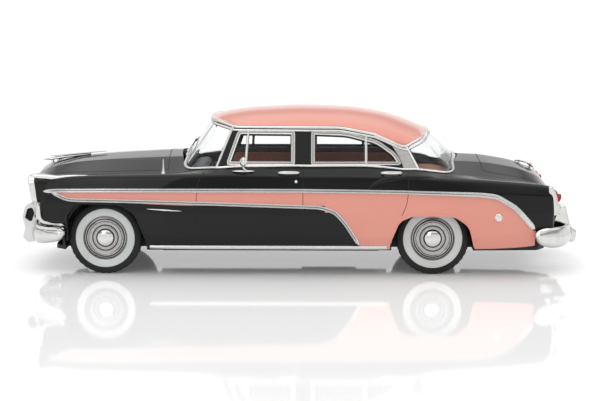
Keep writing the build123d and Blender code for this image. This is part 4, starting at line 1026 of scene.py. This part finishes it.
def build_grille():
    """The plated surround, two bars, seven teeth, the ribbed ends and the dark panel behind them."""
    outline = even(rounded(GRILLE, [1.0] * 8, 6, 2), 0.4, closed=True)
    surround = nose_ribbon("grille_frame", outline, half_round(0.75, 0.4, 0.9), closed=True)
    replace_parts(surround, "grille_surround")
    inner = rounded([(y * 0.985, z + (0.28 if z < 14 else -0.28)) for y, z in GRILLE], [0.8] * 8, 6, 2)
    inner = even(inner, 0.4, closed=True)
    nose_ribbon("grille_inner_line", inner, half_round(0.3, 0.25, 0.8), ETCHED, -0.25, True)
    for i in range(TOOTH_COUNT):
        tooth_y = (i - TOOTH_COUNT // 2) * TOOTH_PITCH
        tooth_x = nose_x(tooth_y)
        rings = []
        for z, half, proud in TOOTH_RINGS:
            front = [(tooth_x - proud * math.sin(a), tooth_y + half * math.cos(a), z)
                     for a in np.linspace(0, math.pi, 13)]
            rings.append(front + [(tooth_x + 0.9, tooth_y - half, z), (tooth_x + 0.9, tooth_y + half, z)])
        skin(f"grille_tooth_{i + 1}", rings, CHROME, sharp=60)
    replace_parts(bpy.data.objects["grille_tooth_1"], "grille_teeth")
    for name, z, half in (("lower", 14.2, 18.4), ("upper", 16.8, 12.8)):
        line = [(y, z) for y in np.linspace(-half, half, 80)]
        nose_ribbon("grille_bar_" + name, line, half_round(0.6, 0.4, 0.5), lift=-0.75)
    back = []
    for z in (12.3, 18.9):
        row = [(nose_x(y) + GRILLE_BACK, y, z) for y in np.linspace(-19.4, 19.4, 60)]
        back.append(row + [(x + 0.3, y, z) for x, y, z in row[::-1]])
    skin("grille_backing", back, SHADOW_LINE)
    for label, side in SIDES:
        for index, z in enumerate((13.35, 14.15, 14.95)):
            line = [(side * y, z) for y in np.linspace(13.4, 18.7, 24)]
            nose_ribbon(f"lamp_rib_{index}_{label}", line, half_round(0.26, 0.22, 0.3), lift=-0.1)
        place = (nose_x(PARKING_Y), side * PARKING_Y, PARKING_Z)
        lens = lathe("parking_lens_" + label, PARKING_LENS, place, PARKING_GLASS, axis="X", steps=40)
        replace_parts(lens, "parking_lamp_" + label)


def bezel_ring(grow, x, lean):
    """The headlamp bezel's front view as points in order round the lamp, leaning forwards at the top."""
    shape = even(LAMP_CENTRE + (BEZEL - LAMP_CENTRE) * (1 + grow), 0.1, closed=True) - LAMP_CENTRE
    turn, reach = np.arctan2(shape[:, 1], shape[:, 0]), np.linalg.norm(shape, axis=1)
    order = np.argsort(turn)
    angles = circle(LAMP_STEPS, -math.pi)
    return lamp_ring(np.interp(angles, turn[order], reach[order], period=2 * math.pi), x, lean)


def lamp_ring(radius, x, lean, steps=LAMP_STEPS):
    """Points round the lamp's centre, with one radius or one for each, leaning forwards at the top."""
    angles = circle(steps, -math.pi)
    up = radius * np.sin(angles)
    return np.column_stack([x - lean * up, LAMP_Y + radius * np.cos(angles), LAMP_Z + up])


def build_headlamps():
    """Hooded bezels, each with a rim, a plated bowl and a fluted domed lens, and the brow along the wing."""
    hood = [bezel_ring(*row) for row in HOOD_RINGS]
    surround = [bezel_ring(*row) for row in BEZEL_RINGS] + [lamp_ring(*row) for row in BOWL_RINGS]
    flutes = FLUTE_DEPTH * np.cos(LENS_FLUTES * circle(144, -math.pi))
    dome = []
    for share in np.linspace(0.02, 1.0, 14):
        x = LENS_X - LENS_DOME * math.sqrt(1 - 0.98 * share**2) - flutes * share
        dome.append(lamp_ring(LENS_R * share, x, 0.0, 144))
    dome.append(dome[-1] + (0.35, 0.0, 0.0))
    hub = np.array([LENS_X + 0.25, *LAMP_CENTRE])
    dome.append(hub + (dome[-1] - hub) * (0.0, 0.1, 0.1))
    points, normals = on_top(soft_line(BROW, 0.4, 6))
    points[:, 2] = np.maximum(points[:, 2], np.interp(points[:, 0], *zip(*BROW_LOWEST)) - 0.1)
    for label, side in SIDES:
        skin("headlamp_hood_" + label, hood, BLACK, side=side)
        bezel = skin("headlamp_surround_" + label, surround, CHROME, sharp=38, side=side)
        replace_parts(bezel, "headlamp_bezel_" + label)
        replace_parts(skin("headlamp_glass_" + label, dome, LAMP_GLASS, side=side), "headlamp_lens_" + label)
        ribbon("wing_brow_" + label, mirrored(points, side), mirrored(normals, side),
               half_round(0.9, 0.34, 0.4), CHROME, taper=2, sizes=(0.8, 1.0, 0.9, 0.7, 0.3))


# ---------------------------------------------------------------- rear lamps
TAIL_Y = 18.5
TAIL_HOUSING = rounded([(55.9, 20.35), (57.0, 20.2), (58.6, 14.4), (57.6, 13.8), (56.3, 13.8)],
                       [0.3, 0.5, 0.5, 0.4, 0.3], 5)
TAIL_RED = rounded([(56.9, 19.7), (57.8, 19.5), (58.95, 17.1), (58.0, 16.6), (57.1, 16.6)], [0.2, 0.8, 0.6,
                    0.3, 0.2], 5)
TAIL_CLEAR = rounded([(57.4, 16.35), (58.75, 16.35), (59.05, 15.2), (58.2, 14.6), (57.4, 14.6)],
                     [0.2, 0.4, 0.4, 0.3, 0.2], 5)
# Name, solid that it stands for, outline, half width, ease, material.
TAIL_PARTS = (("tail_housing_", "tail_lamp_housing_", TAIL_HOUSING, 2.4, CHROME),
              ("tail_glass_", "tail_lens_", TAIL_RED, 1.5, RED_GLASS),
              ("reversing_glass_", "reversing_lens_", TAIL_CLEAR, 1.2, LAMP_GLASS))
REFLECTOR = [(-0.3, 0.0), (-0.3, 0.75), (0.1, 0.75), (0.3, 0.55), (0.38, 0.25), (0.4, 0.0)]


def build_tail_lamps():
    """Plated housings that carry the red lens with its round reflector and the clear lens below."""
    for label, side in SIDES:
        y = side * TAIL_Y
        for name, node, outline, half, material in TAIL_PARTS:
            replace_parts(eased(name + label, outline, y - half, y + half, 0.3, material), node + label)
        lathe("rear_reflector_" + label, REFLECTOR, (58.75, y, 17.75), RED_GLASS, axis="X", steps=36)
        rim = [(y - 1.75, 19.95), (y + 1.75, 19.95), (y + 1.75, 14.2), (y - 1.75, 14.2)]
        rim = even(rounded(rim, [0.7] * 4, 5, 2), 0.3, closed=True)
        points = np.array([(np.interp(z, (14.2, 20.2), (58.6, 57.0)) + 0.02, a, z) for a, z in rim])
        normals = np.full(points.shape, (1.0, 0.0, 0.2))
        ribbon("tail_rim_" + label, points, normals, half_round(0.34, 0.3, 0.3), CHROME, closed=True)


# ---------------------------------------------------------------- ornaments, handles, mirror, aerial, wipers
# Rows of x, z, half width and half height.
BONNET_DART = [(-61.5, 24.0, 0.1, 0.1), (-60.6, 24.15, 0.5, 0.25), (-58.6, 24.3, 0.85, 0.32), (-56.0, 24.75,
               0.8, 0.32), (-53.0, 25.1, 0.6, 0.28), (-50.0, 25.45, 0.35, 0.2)]
BONNET_WING = [(-59.7, 24.9, 0.25, 0.12), (-58.2, 25.0, 0.6, 0.16), (-54.0, 25.45, 0.75, 0.18), (-50.0,
               25.8, 0.6, 0.16), (-46.2, 26.1, 0.3, 0.1)]
BOOT_DART = [(50.4, 24.0, 0.15, 0.15), (51.0, 24.2, 0.4, 0.25), (52.4, 23.85, 0.45, 0.28), (53.2, 23.55,
             0.3, 0.22)]
BOOT_KNOB = [(53.3, 23.5, 0.2, 0.2), (53.7, 23.35, 0.5, 0.45), (54.4, 22.95, 0.5, 0.45), (54.9, 22.5, 0.2,
             0.2)]
PULL_LENGTH, PULL_Z = 4.9, 23.55
LOCK_X, LOCK_Z = -0.9, 21.5
LOCK_BUTTON = [(-0.3, 0.0), (-0.3, 0.34), (0.1, 0.34), (0.2, 0.22), (0.22, 0.0)]
MIRROR_HEAD = [(0.55, 0.0), (0.55, 1.0), (0.35, 1.14), (0.1, 1.12), (-0.3, 0.9), (-0.62, 0.5), (-0.75, 0.0)]
MIRROR_STALK = [(-11.6, -20.3, 23.6), (-12.2, -20.9, 23.9), (-12.8, -21.5, 24.6), (-12.9, -21.8, 25.4)]
MIRROR_FOOT = ((-15.3, 0.1, 0.05), (-14.4, 0.5, 0.22), (-12.6, 0.6, 0.3), (-11.0, 0.45, 0.2), (-10.3, 0.1,
               0.05))
AERIAL_X, AERIAL_Y = -31.0, -19.0
AERIAL = [(0, 0.62), (0.15, 0.6), (0.4, 0.42), (0.9, 0.3), (1.3, 0.2), (3.3, 0.1)]
MEDALLION_X, MEDALLION_Z = 44.6, 13.6
MEDALLION = [(-0.2, 0.0), (-0.2, 0.85), (0.1, 0.85), (0.2, 0.72), (0.12, 0.58), (0.14, 0.3), (0.2, 0.0)]


def build_ornaments():
    """The bonnet's double dart and the boot lid's handle with its knob, each on its feet."""
    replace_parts(pod("bonnet_dart", BONNET_DART), "hood_ornament")
    pod("bonnet_wing", BONNET_WING, power=2.2)
    for index, x in enumerate((-59.2, -57.9)):
        foot = [(x, 0, top_z(x, 0) - 0.3), (x + 0.1, 0, 24.3)]
        tube(f"bonnet_dart_foot_{index}", foot, [0.42, 0.28], CHROME)
    tube("bonnet_wing_post", [(-58.6, 0, 24.3), (-58.4, 0, 25.0)], [0.22, 0.18], CHROME)
    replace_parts(pod("boot_dart", BOOT_DART), "boot_handle")
    pod("boot_knob", BOOT_KNOB, 5, 2.0)
    for index, x in enumerate((51.4, 54.1)):
        tube(f"boot_dart_foot_{index}", [(x, 0, top_z(x, 0) - 0.3), (x, 0, 23.9 - 0.3 * index)], 0.25, CHROME)


def build_pull(name, x0, label, side):
    """A bowed pull handle on two feet."""
    y = side_y(x0 + 2.4, 23.0)
    rings = []
    for t in np.linspace(0, 1, 22):
        swell = math.sqrt(max(0.03, 1 - abs(2 * t - 1) ** 3))
        bow = 0.12 + 0.35 * math.sin(math.pi * t) ** 0.6
        rings.append(superoval(x0 + PULL_LENGTH * t, y + bow, PULL_Z, 0.24 * swell, 0.34 * swell))
    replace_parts(skin(f"{name}_pull_{label}", rings, CHROME, side=side), f"{name}_door_handle_{label}")
    for foot, x in (("a", x0 + 0.5), ("b", x0 + 4.4)):
        line = mirrored([(x, y - 0.5, 23.5), (x, y + 0.3, 23.5)], side)
        tube(f"{name}_pull_foot_{foot}_{label}", line, [0.34, 0.26], CHROME)


def build_door_fittings():
    """Pull handles with lock buttons, the near mirror, the aerial and two wipers."""
    for label, side in SIDES:
        build_pull("front", -5.0, label, side)
        build_pull("rear", 18.1, label, side)
        place = (LOCK_X, side * side_y(LOCK_X, LOCK_Z), LOCK_Z)
        lathe("door_lock_" + label, LOCK_BUTTON, place, CHROME, steps=32, side=side)
    head = lathe("mirror_head", MIRROR_HEAD, (-12.9, -21.8, 26.0), CHROME, axis="X", steps=48)
    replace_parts(head, "door_mirror")
    stalk = soft_line(MIRROR_STALK, 0.15, 6)
    tube("mirror_stalk", stalk, np.linspace(0.32, 0.2, len(stalk)), CHROME)
    skin("mirror_foot", [superoval(x, -20.6, 23.75, a, b, 2.0) for x, a, b in MIRROR_FOOT], CHROME)
    foot_z = top_z(AERIAL_X, -AERIAL_Y) - 0.1
    mast = [(AERIAL_X, AERIAL_Y, foot_z + t) for t, _ in AERIAL]
    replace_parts(tube("aerial_mast", mast, [r for _, r in AERIAL], CHROME), "aerial")
    for label, y0, y1 in (("left", -8.5, -3.0), ("right", 1.5, 7.0)):
        arm = [on_screen(y0 + (y1 - y0) * t, 25.9 + 2.9 * t, 0.35) for t in np.linspace(0, 1, 12)]
        tube("wiper_arm_" + label, arm, np.linspace(0.22, 0.12, 12), CHROME)
        blade = [on_screen(y1 + 2.4 * t, 28.6 + 0.5 * t, 0.15) for t in np.linspace(-1, 1, 9)]
        tube("wiper_blade_" + label, blade, 0.14, SEAL)


def build_side_badges():
    """Plain darts on the front wings and plain medallions on the rear quarters."""
    for label, side in SIDES:
        line = on_side(even([(-34.6, 15.4), (-26.6, 14.9)], 0.3), side)
        ribbon("wing_dart_" + label, *line, half_round(0.4, 0.18), ETCHED, taper=3, sizes=(0.3, 1.0, 0.4))
        place = (MEDALLION_X, side * side_y(MEDALLION_X, MEDALLION_Z), MEDALLION_Z)
        lathe("quarter_medallion_" + label, MEDALLION, place, ETCHED, steps=40, side=side)


# ---------------------------------------------------------------- cabin
FLOOR_Z = 7.8
SEAT_HALF, SEAT_PLEATS, PLEAT_DEPTH = 16.2, 20, 0.16
SEAT_OUTLINE = rounded([(0.2, 0.0), (0.0, 3.6), (1.0, 4.5), (7.4, 4.3), (8.6, 12.2), (9.4, 13.4), (10.6,
                        13.2), (11.3, 12.0), (11.4, 0.0)], [0.2, 1.2, 1.4, 0.9, 2.0, 0.9, 0.8, 1.2, 0.2], 5,
                        3)
DASH = rounded([(-26.0, 16.8), (-26.2, 23.0), (-23.0, 23.4), (-21.9, 22.4), (-22.0, 20.8), (-23.0, 18.0),
                (-23.4, 16.8)], [0.3, 0.6, 0.9, 0.5, 0.6, 1.5, 0.3], 5)
DASH_TRIM = rounded([(-22.1, 20.9), (-21.75, 21.0), (-21.75, 21.5), (-22.1, 21.6)], [0.1] * 4, 3)
WHEEL_HUB, WHEEL_TILT = np.array([-18.2, -8.5, 21.6]), math.radians(62)
WHEEL_R, WHEEL_RIM_R = 3.75, 0.26
INSIDE_MIRROR = ((-20.6, 1.7, 0.5), (-20.4, 2.0, 0.62), (-20.1, 1.9, 0.55))


def build_seats():
    """Two bench seats, each a squab and a cushion with pleats across and rounded ends."""
    along = directions(SEAT_OUTLINE, closed=True)
    inward = np.stack([along[:, 1], -along[:, 0]], axis=1)
    inward *= np.sign(np.sum(inward * (SEAT_OUTLINE.mean(axis=0) - SEAT_OUTLINE)))
    padded = np.clip((SEAT_OUTLINE[:, 1] - 1.5) / 2.0, 0, 1)[:, None]
    for name, x0 in (("front", -12.5), ("rear", 7.2)):
        rings = []
        for y in np.linspace(-SEAT_HALF, SEAT_HALF, SEAT_PLEATS * 6 + 1):
            pleat = PLEAT_DEPTH * (0.5 + 0.5 * math.cos(math.pi * y * SEAT_PLEATS / SEAT_HALF)) ** 3
            end = max(0.0, abs(y) - SEAT_HALF + 1.0)
            sink = pleat + 1.0 - math.sqrt(max(0.0, 1 - end**2))
            rings.append([(x0 + a, y, FLOOR_Z + b) for a, b in SEAT_OUTLINE + inward * sink * padded])
        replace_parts(skin(name + "_bench", rings, SEAT_CLOTH, sharp=70), name + "_seat")


def box_outline(x0, x1, z0, z1, radius, steps=4):
    """A side view of a box with rounded corners."""
    return rounded([(x0, z0), (x1, z0), (x1, z1), (x0, z1)], [radius] * 4, steps)


def build_cabin():
    """Door cards, dashboard with its bright strip, a spoked steering wheel and the inside mirror."""
    for label, side in SIDES:
        for name, x0, x1 in (("front", -20.0, 0.2), ("rear", 1.1, 22.5)):
            card, rail = box_outline(x0, x1, 9.0, 24.0, 0.8), box_outline(x0, x1, 23.6, 25.3, 0.5)
            rest = box_outline(x0 + 6, x1 - 3, 18.2, 19.4, 0.55, 5)
            eased(f"{name}_door_card_{label}", card, side * 16.2, side * 16.65, 0.15, CABIN)
            eased(f"{name}_door_rail_{label}", rail, side * 16.9, side * 17.7, 0.25, NAVY)
            eased(f"{name}_arm_rest_{label}", rest, side * 14.9, side * 16.3, 0.4, SEAT_CLOTH)
            lever = [(x0 + 3.0, side * 16.0, 20.9), (x0 + 4.9, side * 15.8, 20.7)]
            tube(f"{name}_door_lever_{label}", lever, [0.28, 0.16], CHROME)
    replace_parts(eased("dash_board", DASH, -13.2, 13.2, 0.4, NAVY), "dashboard")
    eased("dash_trim", DASH_TRIM, -12.6, 12.6, 0.08, CHROME)
    lean = np.array([-math.cos(WHEEL_TILT), 0.0, math.sin(WHEEL_TILT)])
    across = np.array([0.0, 1.0, 0.0])
    up = np.cross(lean, across)
    rings = []
    for a in circle(64):
        outward = across * math.cos(a) + up * math.sin(a)
        rings.append([WHEEL_HUB + outward * (WHEEL_R + WHEEL_RIM_R * math.cos(b))
                      + lean * WHEEL_RIM_R * math.sin(b) for b in circle(12)])
    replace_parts(skin("steering_rim", rings, CABIN, sharp=35, closed_path=True), "steering_wheel")
    column = [WHEEL_HUB - lean * 4.2, WHEEL_HUB - lean * 0.4, WHEEL_HUB + lean * 0.25]
    tube("steering_column", column, [0.55, 0.6, 0.7], CABIN)
    for index, a in enumerate(np.radians([0, 180, 270])):
        outward = across * math.cos(a) + up * math.sin(a)
        spoke = [WHEEL_HUB + outward * 0.3, WHEEL_HUB + outward * 2.0 - lean * 0.2, WHEEL_HUB + outward * 3.7]
        tube(f"steering_spoke_{index}", spoke, [0.3, 0.2, 0.18], CHROME)
    skin("inside_mirror", [superoval(x, 0.0, 32.6, a, b) for x, a, b in INSIDE_MIRROR], CHROME)


# ---------------------------------------------------------------- carried-over solids, camera and light
def finish_nodes():
    """Gives the CAD nodes that stay in view their materials; plating goes on those that are replaced."""
    for name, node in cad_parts.items():
        node.data.materials.clear()
        node.data.materials.append(NODE_LOOKS.get(name, CHROME))


# The camera that was fitted to the photograph: focal length in the photograph's pixels, place in millimetres.
PIXEL_FOCAL, IMAGE_WIDTH = 1713.75, 600
CAMERA_PLACE = (6.56, -404.12, 69.38)
CAMERA_PITCH, CAMERA_YAW = math.radians(7.76), math.radians(0.984)
FLOOR_HALF = 6000
# The world's brightness by height, from straight down to straight up, with a darker band that metal reflects.
WORLD_STOPS = ((0.0, 1.0), (0.28, 1.0), (0.42, 0.4), (0.48, 0.4), (0.62, 1.1), (1.0, 1.3))


def add_camera():
    """The camera at the photograph's viewing angle."""
    data = bpy.data.cameras.new("camera")
    data.sensor_width = 36.0
    data.lens = PIXEL_FOCAL * data.sensor_width / IMAGE_WIDTH
    data.clip_start, data.clip_end = 0.01, 20
    camera = bpy.data.objects.new("camera", data)
    camera.location = [c * MM for c in CAMERA_PLACE]
    camera.rotation_euler = (math.pi / 2 - CAMERA_PITCH, 0, CAMERA_YAW)
    bpy.context.scene.collection.objects.link(camera)
    bpy.context.scene.camera = camera


def add_lamp(name, place, target, size, power):
    """A soft area lamp; places and sizes in metres, power in watts."""
    data = bpy.data.lights.new(name, "AREA")
    data.shape = "RECTANGLE"
    data.size, data.size_y = size
    data.energy = power
    lamp = bpy.data.objects.new(name, data)
    lamp.location = place
    lamp.rotation_euler = (Vector(target) - lamp.location).to_track_quat("-Z", "Y").to_euler()
    bpy.context.scene.collection.objects.link(lamp)


def add_world():
    """A world that is graded where it lights and reflects, and white to the camera and through glass."""
    world = bpy.data.worlds.new("studio")
    world.use_nodes = True
    bpy.context.scene.world = world
    tree = world.node_tree
    split = add_node(tree, "SeparateXYZ", {"Vector": add_node(tree, "TexCoord").outputs["Generated"]})
    ramp = add_node(tree, "ValToRGB", {"Fac": split.outputs["Z"]})
    while len(ramp.color_ramp.elements) < len(WORLD_STOPS):
        ramp.color_ramp.elements.new(0.5)
    for element, (position, value) in zip(ramp.color_ramp.elements, WORLD_STOPS):
        element.position = position
        element.color = (value, value, value, 1)
    graded = wire(tree, tree.nodes["Background"], {"Color": ramp.outputs["Color"], "Strength": 1.0})
    white = add_node(tree, "Background", {"Color": (1, 1, 1, 1), "Strength": 1.0})
    path = add_node(tree, "LightPath")
    rays = {0: path.outputs["Is Camera Ray"], 1: path.outputs["Is Transmission Ray"]}
    either = add_node(tree, "Math", rays)
    either.operation = "MAXIMUM"
    mix = add_node(tree, "MixShader", {"Fac": either.outputs["Value"], 1: graded.outputs["Background"],
                                       2: white.outputs["Background"]})
    wire(tree, tree.nodes["World Output"], {"Surface": mix.outputs["Shader"]})


def add_studio():
    """Pale floor, an overhead softbox and a front fill."""
    material, tree, shader = new_material("studio_floor")
    wire(tree, shader, {"Base Color": tint(tree, noise(tree, 3, 2), 0.93, 0.95), "Roughness": 0.06,
                        "Specular IOR Level": 0.5, "Emission Color": (1, 1, 1, 1), "Emission Strength": 0.06})
    corners = [(x * FLOOR_HALF, y * FLOOR_HALF, 0) for x, y in ((-1, -1), (1, -1), (1, 1), (-1, 1))]
    floor = make_mesh("studio_floor", corners, [(0, 1, 2, 3)])
    floor.data.materials.append(material)
    add_world()
    add_lamp("overhead", (0.0, -0.05, 0.55), (0, 0, 0), (0.7, 0.5), 0.7)
    add_lamp("front_fill", (-0.25, -0.6, 0.35), (0, 0, 0.02), (0.35, 0.35), 0.4)
    bpy.context.scene.view_settings.view_transform = "Standard"


for build in (build_body, build_roof, build_glass, build_pillars, build_window_trim, build_side_trim,
              build_top_lines, build_wheels, build_bumpers, build_grille, build_headlamps, build_tail_lamps,
              build_ornaments, build_door_fittings, build_side_badges, build_seats, build_cabin, finish_nodes,
              add_camera, add_studio):
    build()
